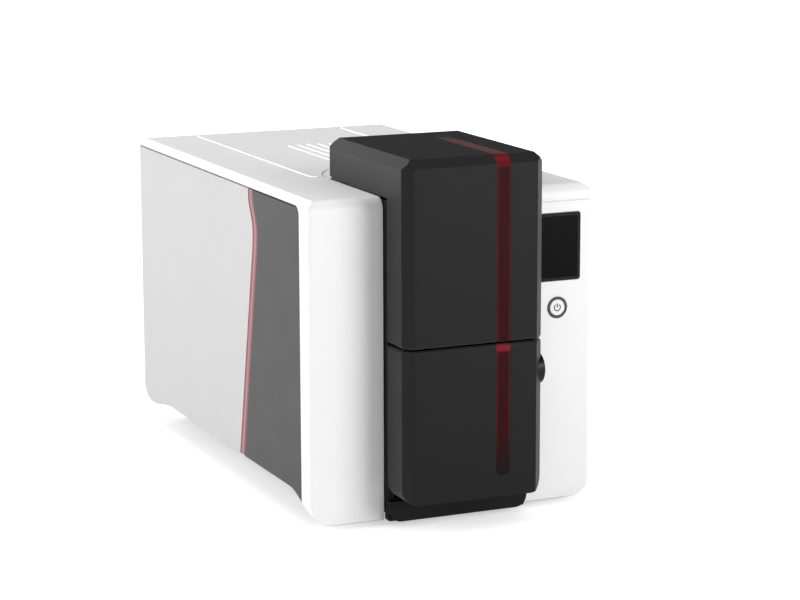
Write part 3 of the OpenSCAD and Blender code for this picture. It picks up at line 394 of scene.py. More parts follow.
@dataclass(frozen=True)
class MouldedPlastic(Finish):
    """Injection-moulded plastic with a fine spark-eroded grain.

    The sheen on side faces and slopes, and the paler tone on slopes, are painted highlights, which make
    these faces paler than faces that look straight up or to the front.
    """

    tone: str = "DDDDDD"
    rough: float = 0.45
    shine: float = 0.5
    grain: float = 0.5 * MM
    relief: float = 0.012 * MM
    mottle: float = 0.035
    cloud: float = 60 * MM
    smear: float = 25 * MM
    wear: float = 0.08
    edge: float = 0.5 * MM
    sheen: float = 0.0
    sheen_rough: float = 0.4
    # painted highlight: the paler tone that slopes take
    slope_highlight_tone: str = "1E1E1F"

    def shader(self) -> Shader:
        """Build tone, grain and broken edges."""
        made = Shader(self.name)
        base = linear(self.tone)
        cloud = made.noise(self.cloud, 3.0)
        tone = made.blend(cloud, shaded(base, 1 - 2 * self.mottle), shaded(base, 1 + self.mottle))
        fine = made.noise(self.grain, 3.0)
        pattern = made.math("ADD", fine, made.noise(self.smear, 2.0))
        made.roughness(self.rough - self.wear, pattern, self.wear)
        made.set(Specular_IOR_Level=self.shine, Sheen_Roughness=self.sheen_rough)
        if self.sheen > 0:
            # painted highlight: a sheen on faces that look to the sides and on slopes
            lean = made.math("MULTIPLY", made.facing(Axis.Y), made.facing(Axis.Z))
            slope = made.math("MULTIPLY", lean, 2.0)
            share = made.math("MINIMUM", made.math("ADD", made.facing(Axis.X), slope), 1.0)
            made.set(Sheen_Weight=made.math("MULTIPLY", share, self.sheen))
            # painted highlight: slopes take a paler tone than the rest of the cover
            tone = made.blend(slope, tone, linear(self.slope_highlight_tone))
        made.colour(tone)
        made.normal(fine, self.relief, self.edge)
        return made


@dataclass(frozen=True)
class LightBar(Finish):
    """Dark red translucent strip with painted highlights on its edges, lip and fold, paler painted light on
    its top, and painted shade towards the rear and the floor.
    """

    middle_x: float = 0.0
    half: float = 5 * MM
    foot_z: float = 0.03
    split_z: float = 0.12
    fold_z: float = 0.24
    tail_y: float = -0.128
    edge_highlight_span: tuple[float, float] = (0.62, 0.95)
    lip_highlight_depths: tuple[float, float] = (7 * MM, 4 * MM)
    lip_highlight_end: float = 1 * MM
    fold_highlight_depths: tuple[float, float] = (9 * MM, 3 * MM)
    top_light_depths: tuple[float, float] = (2 * MM, 0.5 * MM)
    foot_shade_fade: float = 40 * MM
    tail_shade_fade: float = 26 * MM
    core_tones: tuple[str, str] = ("2A0609", "36070B")
    # painted light and shade: the edge, lip, fold and top tones are highlights, the tail and foot tones are
    # shade
    edge_highlight_tone: str = "4A1418"
    lip_highlight_tone: str = "7E1C25"
    fold_highlight_tone: str = "701B22"
    top_light_tone: str = "541A1F"
    tail_shade_tone: str = "140A0B"
    foot_shade_tone: str = "1C0F11"
    rough: float = 0.2
    shine: float = 0.06

    def shader(self) -> Shader:
        """Build the strip's colours from the core outwards."""
        made = Shader(self.name)
        streaks = made.noise(9 * MM, 2.0, (0.4, 1, 4))
        tone = made.blend(streaks, *(linear(code) for code in self.core_tones))
        # painted highlights and painted shade, laid band by band over the core
        for share, code in self.bands(made):
            tone = made.blend(share, tone, linear(code))
        # painted shade: the strip darkens towards the floor
        foot_clear = made.step(made.axis(Axis.Z), self.foot_z, self.foot_z + self.foot_shade_fade)
        made.colour(made.blend(foot_clear, linear(self.foot_shade_tone), tone))
        made.roughness(self.rough, made.noise(12 * MM), 0.1)
        made.set(Specular_IOR_Level=self.shine)
        made.normal(made.noise(14 * MM, 1.0, (1, 1, 6)), 0.03 * MM, 0.3 * MM)
        return made

    def bands(self, made: Shader) -> list[tuple[Socket, str]]:
        """Place the strip's painted light: highlights on its edges, on the lip below the split and on the
        hood's fold, a paler top, and shade on the tail.

        Args:
            made: Shader under work.

        Returns:
            Each band's share from 0 to 1 and its colour, in the order in which they are laid.
        """
        height = made.axis(Axis.Z)

        def rise(level: float, depths: tuple[float, float]) -> Socket:
            """Rise from the first to the second depth below a level."""
            return made.step(height, level - depths[0], level - depths[1])

        across = made.math("ABSOLUTE", made.math("SUBTRACT", made.axis(Axis.X), self.middle_x))
        edge = made.step(across, *(self.half * share for share in self.edge_highlight_span))
        above = made.step(height, self.split_z, self.split_z + self.lip_highlight_end)
        lip = made.math("MULTIPLY", rise(self.split_z, self.lip_highlight_depths), made.math("SUBTRACT", 1.0, above))
        tail_shade = made.step(made.axis(Axis.Y), self.tail_y - self.tail_shade_fade, self.tail_y)
        return [
            (edge, self.edge_highlight_tone),
            (lip, self.lip_highlight_tone),
            (rise(self.fold_z, self.fold_highlight_depths), self.fold_highlight_tone),
            (rise(self.fold_z, self.top_light_depths), self.top_light_tone),
            (tail_shade, self.tail_shade_tone),
        ]


@dataclass(frozen=True)
class Pinstripe(Finish):
    """Glossy painted line with a soft change of tone along it."""

    low_tone: str = "84424A"
    high_tone: str = "924E58"
    rough: float = 0.3
    shine: float = 0.2

    def shader(self) -> Shader:
        """Build the line's colours from soft noise along it."""
        made = Shader(self.name)
        along = made.noise(20 * MM, 2.0, (1, 1, 3))
        made.colour(made.blend(along, linear(self.low_tone), linear(self.high_tone)))
        made.roughness(self.rough, along, 0.1)
        made.set(Specular_IOR_Level=self.shine)
        made.normal(made.noise(0.6 * MM), 0.01 * MM, 0.2 * MM)
        return made


@dataclass(frozen=True)
class DisplayGlass(Finish):
    """Smoked window over a dark display."""

    tone: str = "060607"
    cloud_tone: str = "0B0B0D"
    rough: float = 0.06
    shine: float = 0.05

    def shader(self) -> Shader:
        """Build a deep gloss with faint smears."""
        made = Shader(self.name)
        made.colour(made.blend(made.noise(30 * MM, 2.0), linear(self.tone), linear(self.cloud_tone)))
        made.roughness(self.rough, made.noise(12 * MM, 3.0, (3, 1, 1)), 0.08)
        made.set(Specular_IOR_Level=self.shine)
        made.normal(None, 0.0, 0.2 * MM)
        return made


@dataclass(frozen=True)
class Metal(Finish):
    """Rolled, turned or plated metal."""

    tone: str = "B8BABD"
    rough: float = 0.28
    brushed: Axis = Axis.Z
    stroke: float = 0.5 * MM
    stroke_length: float = 40.0
    stain: float = 14 * MM
    stain_level: float = 0.82
    relief: float = 0.006 * MM
    edge: float = 0.25 * MM

    def shader(self) -> Shader:
        """Build long fine strokes and small stains."""
        made = Shader(self.name)
        stretch = [1.0, 1.0, 1.0]
        stretch[self.brushed.value] = self.stroke_length
        strokes = made.noise(self.stroke, 2.0, stretch)
        base = linear(self.tone)
        made.colour(made.blend(made.noise(self.stain, 3.0), shaded(base, self.stain_level), base))
        made.roughness(self.rough - 0.06, strokes, 0.18)
        made.set(Metallic=1.0)
        made.normal(strokes, self.relief, self.edge)
        return made


@dataclass(frozen=True)
class Rubber(Finish):
    """Matt dark rubber with a ground surface."""

    tone: str = "1D1D1E"
    dust: float = 8 * MM
    dust_factor: float = 1.6
    dust_lift: float = 0.004
    pit: float = 0.35 * MM
    pit_depth: float = 0.03 * MM
    edge: float = 0.3 * MM
    rough: float = 0.8
    shine: float = 0.3

    def shader(self) -> Shader:
        """Build a dusty, slightly pitted surface."""
        made = Shader(self.name)
        base = linear(self.tone)
        pits = made.noise(self.pit, 3.0)
        dusty = shaded(base, self.dust_factor, self.dust_lift)
        made.colour(made.blend(made.noise(self.dust, 4.0), base, dusty))
        made.roughness(self.rough - 0.07, pits, 0.15)
        made.set(Specular_IOR_Level=self.shine)
        made.normal(pits, self.pit_depth, self.edge)
        return made


@dataclass(frozen=True)
class BoardLacquer(Finish):
    """Green solder lacquer over copper tracks."""

    tone: str = "14513A"
    track_tone: str = "1E6A4A"
    cell: float = 5 * MM
    scatter: float = 0.7
    tracks: float = 4.0
    track_band: tuple[float, float] = (0.45, 0.55)
    rough: float = 0.3

    def shader(self) -> Shader:
        """Build tracks from a blocky cell pattern."""
        made = Shader(self.name)
        cells = made.add("ShaderNodeTexVoronoi", distance="MANHATTAN", feature="F1")
        cells.inputs["Scale"].default_value = 1 / self.cell
        cells.inputs["Randomness"].default_value = self.scatter
        made.join(made.place, cells.inputs["Vector"])
        wave = made.math("FRACT", made.math("MULTIPLY", cells.outputs["Distance"], self.tracks))
        line = made.step(wave, *self.track_band)
        made.colour(made.blend(line, linear(self.tone), linear(self.track_tone)))
        made.roughness(self.rough, made.noise(6 * MM), 0.12)
        made.normal(line, 0.03 * MM, 0.1 * MM)
        return made


@dataclass(frozen=True)
class DyeRibbon(Finish):
    """Thin dye film with coloured panels one after the other, flat or wound up."""

    panel: float = 14 * MM
    panel_tones: tuple[str, ...] = ("C9A91C", "A81E5C", "1C7FA6", "17171A")
    wound: bool = False
    wound_tones: tuple[str, str] = ("3A2140", "5B3760")
    rough: float = 0.15
    shine: float = 0.6

    def shader(self) -> Shader:
        """Build panels along the film, or fine turns on a roll."""
        made = Shader(self.name)
        if self.wound:
            made.colour(made.blend(made.noise(3 * MM, 2.0), *(linear(tone) for tone in self.wound_tones)))
        else:
            made.colour(self.panels(made))
        wrinkle = made.noise(7 * MM, 2.0, (4, 1, 1))
        made.roughness(self.rough, wrinkle, 0.15)
        made.set(Specular_IOR_Level=self.shine)
        made.normal(wrinkle, 0.04 * MM, 0.0)
        return made

    def panels(self, made: Shader) -> Socket:
        """Return the colour of the panel at each place along the film.

        Args:
            made: Shader under work.

        Returns:
            The colour's socket.
        """
        count = len(self.panel_tones)
        place = made.math("FRACT", made.math("DIVIDE", made.axis(Axis.Y), count * self.panel))
        ramp = made.add("ShaderNodeValToRGB")
        ramp.color_ramp.interpolation = "CONSTANT"
        stops = ramp.color_ramp.elements
        while len(stops) < count:
            stops.new(0.5)
        for k, tone in enumerate(self.panel_tones):
            stops[k].position = k / count
            stops[k].color = linear(tone)
        made.join(place, ramp.inputs["Fac"])
        return ramp.outputs["Color"]


WHITE = MouldedPlastic("white_cover", "white_plastic", tone="EFEFEF", rough=0.42, mottle=0.012,
                       edge=0.9 * MM)
WHITE_LID = MouldedPlastic("white_lid", "white_plastic", tone="EEEEEE", rough=0.42, mottle=0.012,
                           edge=1.3 * MM)
# painted highlight: beads whiter than the lid, for the light lines along its edges, grooves and scoop
WHITE_HIGHLIGHT_BEAD = MouldedPlastic("white_highlight_bead", "white_plastic", tone="FFFFFF", rough=0.35, mottle=0.012,
                            edge=0.2 * MM)
LIGHT_GREY = MouldedPlastic("light_grey_cover", "light_grey_plastic", tone="BFBFBF", rough=0.5, mottle=0.015)
DARK_GREY = MouldedPlastic("dark_grey_panel", "dark_grey_plastic", tone="272728", shine=0.34, mottle=0.03)
BLACK = MouldedPlastic("black_cover", "black_plastic", tone="0B0B0C", rough=0.42, shine=0.17, mottle=0.05,
                       edge=1.1 * MM, sheen=0.2)
BLACK_INNER = MouldedPlastic("black_frame", "black_plastic", tone="0E0E0E", rough=0.55, shine=0.15,
                             mottle=0.05)
BLACK_CAP = MouldedPlastic("release_cap", "black_plastic", tone="0A0A0B", rough=0.35, shine=0.2)
BLACK_BEZEL = MouldedPlastic("display_frame", "display_black", tone="101011", rough=0.35, shine=0.15)
RING_GREY = MouldedPlastic("power_ring_plastic", "dark_grey_plastic", tone="2A2A2C", rough=0.35)
INK = MouldedPlastic("power_mark_print", "black_plastic", tone="2A2A2B", rough=0.5)
GREY = MouldedPlastic("grey_inner_plastic", "grey_plastic", tone="4A4B4E", rough=0.5)
NYLON = MouldedPlastic("gear_nylon", "gear_plastic", tone="D9D4C2", rough=0.4, mottle=0.03, edge=0.15 * MM)
CHIP = MouldedPlastic("chip_resin", "black_plastic", tone="1A1A1B", rough=0.5, edge=0.1 * MM)
CABLE = MouldedPlastic("flat_cable", "grey_plastic", tone="D8D2BE", rough=0.4, edge=0.05 * MM)
STEEL = Metal("zinc_plated_steel", "steel")
STEEL_X = Metal("ground_shaft_steel", "steel", tone="C4C6C8", rough=0.2, brushed=Axis.X)
TIN = Metal("tinned_contact", "steel", tone="CFD0D2", rough=0.3, edge=0.05 * MM)
BRASS = Metal("turned_brass", "brass", tone="C8A550", rough=0.25, brushed=Axis.X)
ALUMINIUM = Metal("drawn_aluminium", "aluminium", tone="C9CBCD", rough=0.35, brushed=Axis.X)
RUBBER = Rubber("ground_rubber", "rubber")
BOARD = BoardLacquer("board_lacquer", "circuit_board")
RIBBON = DyeRibbon("dye_film", "ribbon")
WOUND = DyeRibbon("wound_dye_film", "ribbon", wound=True)
GLASS = DisplayGlass("display_window", "display_black")
STRIPE_EDGE = Pinstripe("pinstripe_edge", "red_pinstripe")
# painted highlight: the paler line along the middle of each pinstripe
STRIPE_HIGHLIGHT = Pinstripe("pinstripe_highlight", "red_pinstripe", low_tone="9A656C", high_tone="A67178")


def dress(finish: Finish, *nodes: str) -> None:
    """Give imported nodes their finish.

    Args:
        finish: Finish for the whole of each node.
        nodes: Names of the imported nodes.
    """
    for node in nodes:
        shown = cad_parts[node]
        shown.data.materials.clear()
        shown.data.materials.append(finish.material())
        LOG.info("finish %s on %s", finish.name, node)


class Workshop:
    """Mesh tools that the sub-assemblies share."""

    WELD = 0.001 * MM
    RIB_HALF = 0.6 * MM
    BROKEN_EDGE = 0.4 * MM
    WIDE_SHARE = 0.9
    MOST_ROUNDING = 0.45
    WIRE_SIDE = Vector((0.31, 0.17, 0.93))

    @staticmethod
    def finish_piece(name: str, mesh: Mesh, body: Body, finish: Finish, stands_for: Sequence[str] = (),
                     smooth_deg: float = 35) -> None:
        """Turn a mesh under work into a piece that rides on its body.

        Args:
            name: Name of the piece.
            mesh: Mesh under work, in the model's frame; it is used up.
            body: Body that the piece moves with.
            finish: Finish of the piece.
            stands_for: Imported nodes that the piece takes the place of.
            smooth_deg: Edges flatter than this are shaded smooth.
        """
        bmesh.ops.remove_doubles(mesh, verts=mesh.verts, dist=Workshop.WELD)
        bmesh.ops.recalc_face_normals(mesh, faces=mesh.faces)
        piece = Workshop.place_mesh(name, mesh, finish.material())
        piece.data.shade_smooth()
        piece.data.set_sharp_from_angle(angle=math.radians(smooth_deg))
        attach(piece, body.value)
        if stands_for:
            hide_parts(*stands_for)
        LOG.info("piece %s rides on %s", name, body.value)

    @staticmethod
    def place_mesh(name: str, mesh: Mesh, material: bpy.types.Material) -> bpy.types.Object:
        """Put a mesh under work into the scene.

        Args:
            name: Name of the object.
            mesh: Mesh under work; it is used up.
            material: Material of all its faces.

        Returns:
            The new object.
        """
        data = bpy.data.meshes.new(name)
        mesh.to_mesh(data)
        mesh.free()
        data.materials.append(material)
        shown = bpy.data.objects.new(name, data)
        bpy.context.scene.collection.objects.link(shown)
        return shown

    @staticmethod
    def plate(mesh: Mesh, low: Vector, high: Vector, edge: float) -> None:
        """Add a block with rounded edges.

        Args:
            mesh: Mesh to add to.
            low: Lowest corner.
            high: Highest corner.
            edge: Radius of its edges.
        """
        size = high - low
        move = Matrix.Translation((low + high) / 2) @ Matrix.Diagonal((*size, 1.0))
        made = bmesh.ops.create_cube(mesh, size=1.0, matrix=move)
        edges = list({e for v in made["verts"] for e in v.link_edges})
        bmesh.ops.bevel(mesh, geom=edges, offset=min(edge, min(size) * Workshop.MOST_ROUNDING), segments=2,
                        profile=0.5, affect="EDGES", clamp_overlap=True)

    @staticmethod
    def rib(mesh: Mesh, low: Sequence[float], high: Sequence[float], edge: float = 0.3 * MM) -> None:
        """Add a block between two corners given as plain numbers.

        Args:
            mesh: Mesh to add to.
            low: Lowest corner.
            high: Highest corner.
            edge: Radius of its edges.
        """
        Workshop.plate(mesh, Vector(low), Vector(high), edge)

    @staticmethod
    def fin(mesh: Mesh, across: Axis, middle: float, low: Sequence[float], high: Sequence[float]) -> None:
        """Add a moulded stiffening rib of the usual thickness.

        Args:
            mesh: Mesh to add to.
            across: Direction of its thickness.
            middle: Middle of its thickness.
            low: Lowest places along the other two axes.
            high: Highest places along them.
        """
        first, last = list(low), list(high)
        first.insert(across.value, middle - Workshop.RIB_HALF)
        last.insert(across.value, middle + Workshop.RIB_HALF)
        Workshop.rib(mesh, first, last)

    @staticmethod
    def skin(mesh: Mesh, rings: Sequence[Sequence[bmesh.types.BMVert]], ring_shaped: bool = False) -> None:
        """Span faces over rings of as many points each.

        Args:
            mesh: Mesh to add to.
            rings: Rings of its points, one after the other.
            ring_shaped: Whether the last ring joins the first; otherwise both ends are closed.
        """
        count = len(rings[0])
        after = [*rings[1:], rings[0]] if ring_shaped else rings[1:]
        for first, second in zip(rings, after):
            for k in range(count):
                last = (k + 1) % count
                mesh.faces.new([first[k], first[last], second[last], second[k]])
        if not ring_shaped:
            mesh.faces.new(rings[0])
            mesh.faces.new(list(reversed(rings[-1])))

    @staticmethod
    def lathe(mesh: Mesh, profile: Iterable[tuple[float, float]], axis: Axis, place: Vector,
              steps: int = 48) -> None:
        """Turn a closed profile round an axis.

        Args:
            mesh: Mesh to add to.
            profile: Radius and place along the axis of each point; a radius of 0 ends in a point.
            axis: Direction of the axis.
            place: Where the profile's zero lies.
            steps: Faces round the axis.
        """
        turn = Matrix.Translation(place) @ axis.matrix()
        ways = [(math.cos(a), math.sin(a)) for a in (2 * math.pi * k / steps for k in range(steps))]
        rings = []
        for radius, along in profile:
            spots = [(radius * x, radius * y, along) for x, y in ways] if radius > 0 else [(0, 0, along)]
            rings.append([mesh.verts.new(turn @ Vector(spot)) for spot in spots])
        closed = len(rings[0]) > 1 or len(rings[-1]) > 1
        for first, second in zip(rings, rings[1:] + (rings[:1] if closed else [])):
            for k in range(steps):
                corners = []
                for ring, offset in ((first, 0), (first, 1), (second, 1), (second, 0)):
                    corner = ring[(k + offset) % len(ring)]
                    if corner not in corners:
                        corners.append(corner)
                if len(corners) > 2:
                    mesh.faces.new(corners)

    @staticmethod
    def bar(mesh: Mesh, box: Box, ends: Sequence[float], radius: float, edge: float, steps: int = 48) -> None:
        """Turn a round bar along x with broken edges.

        Args:
            mesh: Mesh to add to.
            box: Box whose middle its axle runs through.
            ends: Where it starts and ends.
            radius: Its radius.
            edge: Size of its broken edges.
            steps: Faces round it.
        """
        start, end = ends
        profile = [(0, start), (radius - edge, start), (radius, start + edge), (radius, end - edge),
                   (radius - edge, end), (0, end)]
        Workshop.lathe(mesh, profile, Axis.X, box.axle, steps)

    @staticmethod
    def widest(node: str) -> tuple[float, float]:
        """Find the widest part of a node that turns about x.

        Args:
            node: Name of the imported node.

        Returns:
            Where that part starts and ends.
        """
        box = Box.of(node)
        reach = Workshop.WIDE_SHARE * box.size.z / 2
        wide = [p.x for p in points(node) if math.hypot(p.y - box.mid.y, p.z - box.mid.z) > reach]
        return min(wide), max(wide)

    @staticmethod
    def tube(mesh: Mesh, path: Sequence[Vector], radius: float, steps: int = 8) -> None:
        """Draw a round wire along a path, with closed ends.

        Args:
            mesh: Mesh to add to.
            path: Points of its middle line.
            radius: Radius of the wire.
            steps: Faces round the wire.
        """
        rings = []
        side = Workshop.WIRE_SIDE
        turns = [(math.cos(a), math.sin(a)) for a in (2 * math.pi * j / steps for j in range(steps))]
        for k, point in enumerate(path):
            ahead = (path[min(k + 1, len(path) - 1)] - path[max(k - 1, 0)]).normalized()
            side = (side - ahead * side.dot(ahead)).normalized()
            up = ahead.cross(side)
            rings.append([mesh.verts.new(point + radius * (x * side + y * up)) for x, y in turns])
        Workshop.skin(mesh, rings)

    @staticmethod
    def slab(mesh: Mesh, outline: Sequence[Vector], depth: Vector) -> None:
        """Draw a flat outline out into a slab.

        Args:
            mesh: Mesh to add to.
            outline: Corners of one face, in order.
            depth: Way from that face to the other.
        """
        Workshop.skin(mesh, [[mesh.verts.new(p + way) for p in outline] for way in (Vector(), depth)])

    @staticmethod
    def wheel(mesh: Mesh, place: Vector, radii: Sequence[float], width: float, teeth: int) -> None:
        """Add a toothed wheel that turns about x.

        Args:
            mesh: Mesh to add to.
            place: Middle of its first face.
            radii: Radius of its bore, between its teeth and over its teeth.
            width: Its width along x.
            teeth: Number of teeth.
        """
        bore, root, tip = radii
        tooth = (root, root, tip, tip)
        count = teeth * len(tooth)
        rings = []
        for x, inner in ((0.0, False), (width, False), (width, True), (0.0, True)):
            rings.append([])
            for k in range(count):
                radius = bore if inner else tooth[k % len(tooth)]
                angle = 2 * math.pi * k / count
                spot = Vector((x, radius * math.cos(angle), radius * math.sin(angle)))
                rings[-1].append(mesh.verts.new(place + spot))
        Workshop.skin(mesh, rings, ring_shaped=True)


@dataclass(frozen=True)
class ScrewHead:
    """Domed head of a screw with a tapered hollow in its middle."""

    radius: float
    top_radius: float
    rim: float
    height: float
    hollow: float
    floor: float
    taper: float = 0.2 * MM

    def profile(self) -> list[tuple[float, float]]:
        """Return the turned profile, from the seat on the axis to the hollow's floor."""
        return [(0, 0), (self.radius, 0), (self.radius, self.rim), (self.top_radius, self.height),
                (self.hollow, self.height), (self.hollow - self.taper, self.floor), (0, self.floor)]


@dataclass
class Housing:
    """White shell, tray below it and the four feet."""

    foot_groove: float = 0.8 * MM
    foot_edge: float = 0.8 * MM
    tray_floor: float = 3 * MM
    rib_inset: float = 1 * MM
    rib_thick: float = 1.4 * MM
    cross_ribs: tuple[float, ...] = (0.34, 0.46, 0.58, 0.70, 0.82)
    cross_height: float = 4 * MM
    long_ribs: tuple[float, ...] = (-22 * MM, 0.0, 22 * MM)
    long_height: float = 3 * MM

    def build(self) -> None:
        """Dress the covers, turn the feet and mould the tray's ribs."""
        dress(WHITE, "outer_shell")
        dress(BLACK_INNER, "base_tray")
        self.feet()
        self.tray_ribs()

    def feet(self) -> None:
        """Turn four feet with a ground ring and a hollow middle."""
        box = Box.of("rubber_feet")
        left = [p.x for p in points("rubber_feet") if p.x < 0]
        radius = (max(left) - min(left)) / 2
        groove, edge, top = self.foot_groove, self.foot_edge, box.size.z
        rings = ((0.35, groove), (0.45, 0.0), (0.66, 0.0), (0.70, groove), (0.76, groove), (0.80, 0.0))
        profile = [(radius * share, along) for share, along in rings]
        profile += [(radius - edge, 0.0), (radius, edge), (radius, top), (radius * rings[0][0], top)]
        mesh = bmesh.new()
        for x in (box.low.x + radius, box.high.x - radius):
            for y in (box.low.y + radius, box.high.y - radius):
                Workshop.lathe(mesh, profile, Axis.Z, Vector((x, y, box.low.z)))
        Workshop.finish_piece("turned_feet", mesh, Body.HOUSING, RUBBER, ["rubber_feet"])

    def tray_ribs(self) -> None:
        """Mould stiffening ribs on the tray's floor, between the chassis plates."""
        tray = Box.of("base_tray")
        guide = Box.of("card_guide")
        floor = tray.low.z + self.tray_floor
        left, right = guide.low.x + self.rib_inset, guide.high.x - self.rib_inset
        rows = [tray.low.y + share * tray.size.y for share in self.cross_ribs]
        mesh = bmesh.new()
        for y in rows:
            Workshop.rib(mesh, (left, y, floor), (right, y + self.rib_thick, floor + self.cross_height))
        for x in self.long_ribs:
            Workshop.rib(mesh, (x, rows[0], floor), (x + self.rib_thick, rows[-1], floor + self.long_height))
        Workshop.finish_piece("tray_ribs", mesh, Body.HOUSING, BLACK_INNER)


@dataclass
class SidePanels:
    """Grey panels on both sides with the red pinstripe between them."""

    highlight_share: float = 0.42
    highlight_lift: float = 0.08 * MM
    highlight_sink: float = 0.2 * MM
    face_play: float = 0.05 * MM
    least_width: float = 3 * MM

    def build(self) -> None:
        """Dress the panels and lay a paler line, a painted highlight, along the middle of each pinstripe."""
        for side, way in (("left", -1), ("right", 1)):
            dress(LIGHT_GREY, f"{side}_side_panel")
            dress(DARK_GREY, f"{side}_accent_panel")
            dress(STRIPE_EDGE, f"{side}_pinstripe")
            self.line(side, way)

    def line(self, side: str, way: int) -> None:
        """Lay the paler line, a painted highlight, which follows the outline of the pinstripe's solid.

        Args:
            side: Side of the printer, left or right.
            way: Sign of x on that side.
        """
        node = f"{side}_pinstripe"
        box = Box.of(node)
        outer = box.low.x if way < 0 else box.high.x
        levels: dict[float, list[float]] = {}
        for point in points(node):
            if abs(point.x - outer) < self.face_play:
                levels.setdefault(round(point.z, 5), []).append(point.y)
        inner, face = outer - self.highlight_sink * way, outer + self.highlight_lift * way
        mesh = bmesh.new()
        grid = []
        for z, ys in sorted(levels.items()):
            front, back = min(ys), max(ys)
            if back - front <= self.least_width:
                continue
            middle, half = (front + back) / 2, (back - front) / 2 * self.highlight_share
            low, high = middle - half, middle + half
            corners = ((inner, low), (face, low), (face, high), (inner, high))
            grid.append([mesh.verts.new((x, y, z)) for x, y in corners])
        Workshop.skin(mesh, grid)
        Workshop.finish_piece(f"{node}_line", mesh, Body.HOUSING, STRIPE_HIGHLIGHT)


@dataclass
class RearPanel:
    """Rear panel with its connections and screws."""

    wire: float = 0.3 * MM
    network_count: int = 8
    network_wall: float = 2.5 * MM
    network_path: tuple[tuple[float, float], ...] = ((4 * MM, 0.0), (9 * MM, 1.2 * MM))
    network_end: tuple[float, float] = (4 * MM, 3.4 * MM)
    data_count: int = 4
    data_pitch: float = 1.25 * MM
    data_half: float = 0.35 * MM
    data_ends: tuple[float, float] = (4 * MM, 2.6 * MM)
    tongue_lift: float = 0.2 * MM
    strip_sink: float = 0.1 * MM
    strip_rise: float = 0.18 * MM
    pin_radius: float = 1.25 * MM
    pin_start: float = 3 * MM
    pin_end: float = 2 * MM

    def build(self) -> None:
        """Dress the panel and add the contacts in its sockets."""
        dress(LIGHT_GREY, "rear_panel")
        dress(STEEL, "rear_screws", "usb_socket", "network_socket")
        dress(BLACK_INNER, "reject_bezel", "power_socket")
        self.network_contacts()
        self.data_contacts()
        self.power_pin()

    def network_contacts(self) -> None:
        """Lay sprung contacts in the network socket."""
        box = Box.of("network_socket")
        top = box.high.z - self.network_wall
        ways = [(box.low.y + along, top - fall) for along, fall in self.network_path]
        ways.append((box.high.y - self.network_end[0], top - self.network_end[1]))
        pitch = (box.size.x - 2 * self.network_wall) / (self.network_count - 1)
        mesh = bmesh.new()
        for k in range(self.network_count):
            x = box.low.x + self.network_wall + k * pitch
            Workshop.tube(mesh, [Vector((x, y, z)) for y, z in ways], self.wire)
        Workshop.finish_piece("network_contacts", mesh, Body.HOUSING, BRASS)

    def data_contacts(self) -> None:
        """Lay sprung strips on the data socket's tongue."""
        box = Box.of("usb_socket")
        tongue = box.mid.z + self.tongue_lift
        start, end = box.low.y + self.data_ends[0], box.high.y - self.data_ends[1]
        mesh = bmesh.new()
        for k in range(self.data_count):
            x = box.mid.x + (k - (self.data_count - 1) / 2) * self.data_pitch
            Workshop.rib(mesh, (x - self.data_half, start, tongue - self.strip_sink),
                         (x + self.data_half, end, tongue + self.strip_rise), self.strip_sink)
        Workshop.finish_piece("data_contacts", mesh, Body.HOUSING, BRASS)

    def power_pin(self) -> None:
        """Turn the pin in the middle of the power socket."""
        box = Box.of("power_socket")
        radius = self.pin_radius
        length = box.size.y - self.pin_start - self.pin_end
        profile = [(0, 0), (radius, 0), (radius, length - radius), (radius * 0.7, length - radius * 0.3),
                   (0, length)]
        mesh = bmesh.new()
        start = Vector((box.mid.x, box.low.y + self.pin_start, box.mid.z))
        Workshop.lathe(mesh, profile, Axis.Y, start)
        Workshop.finish_piece("power_pin", mesh, Body.HOUSING, BRASS)


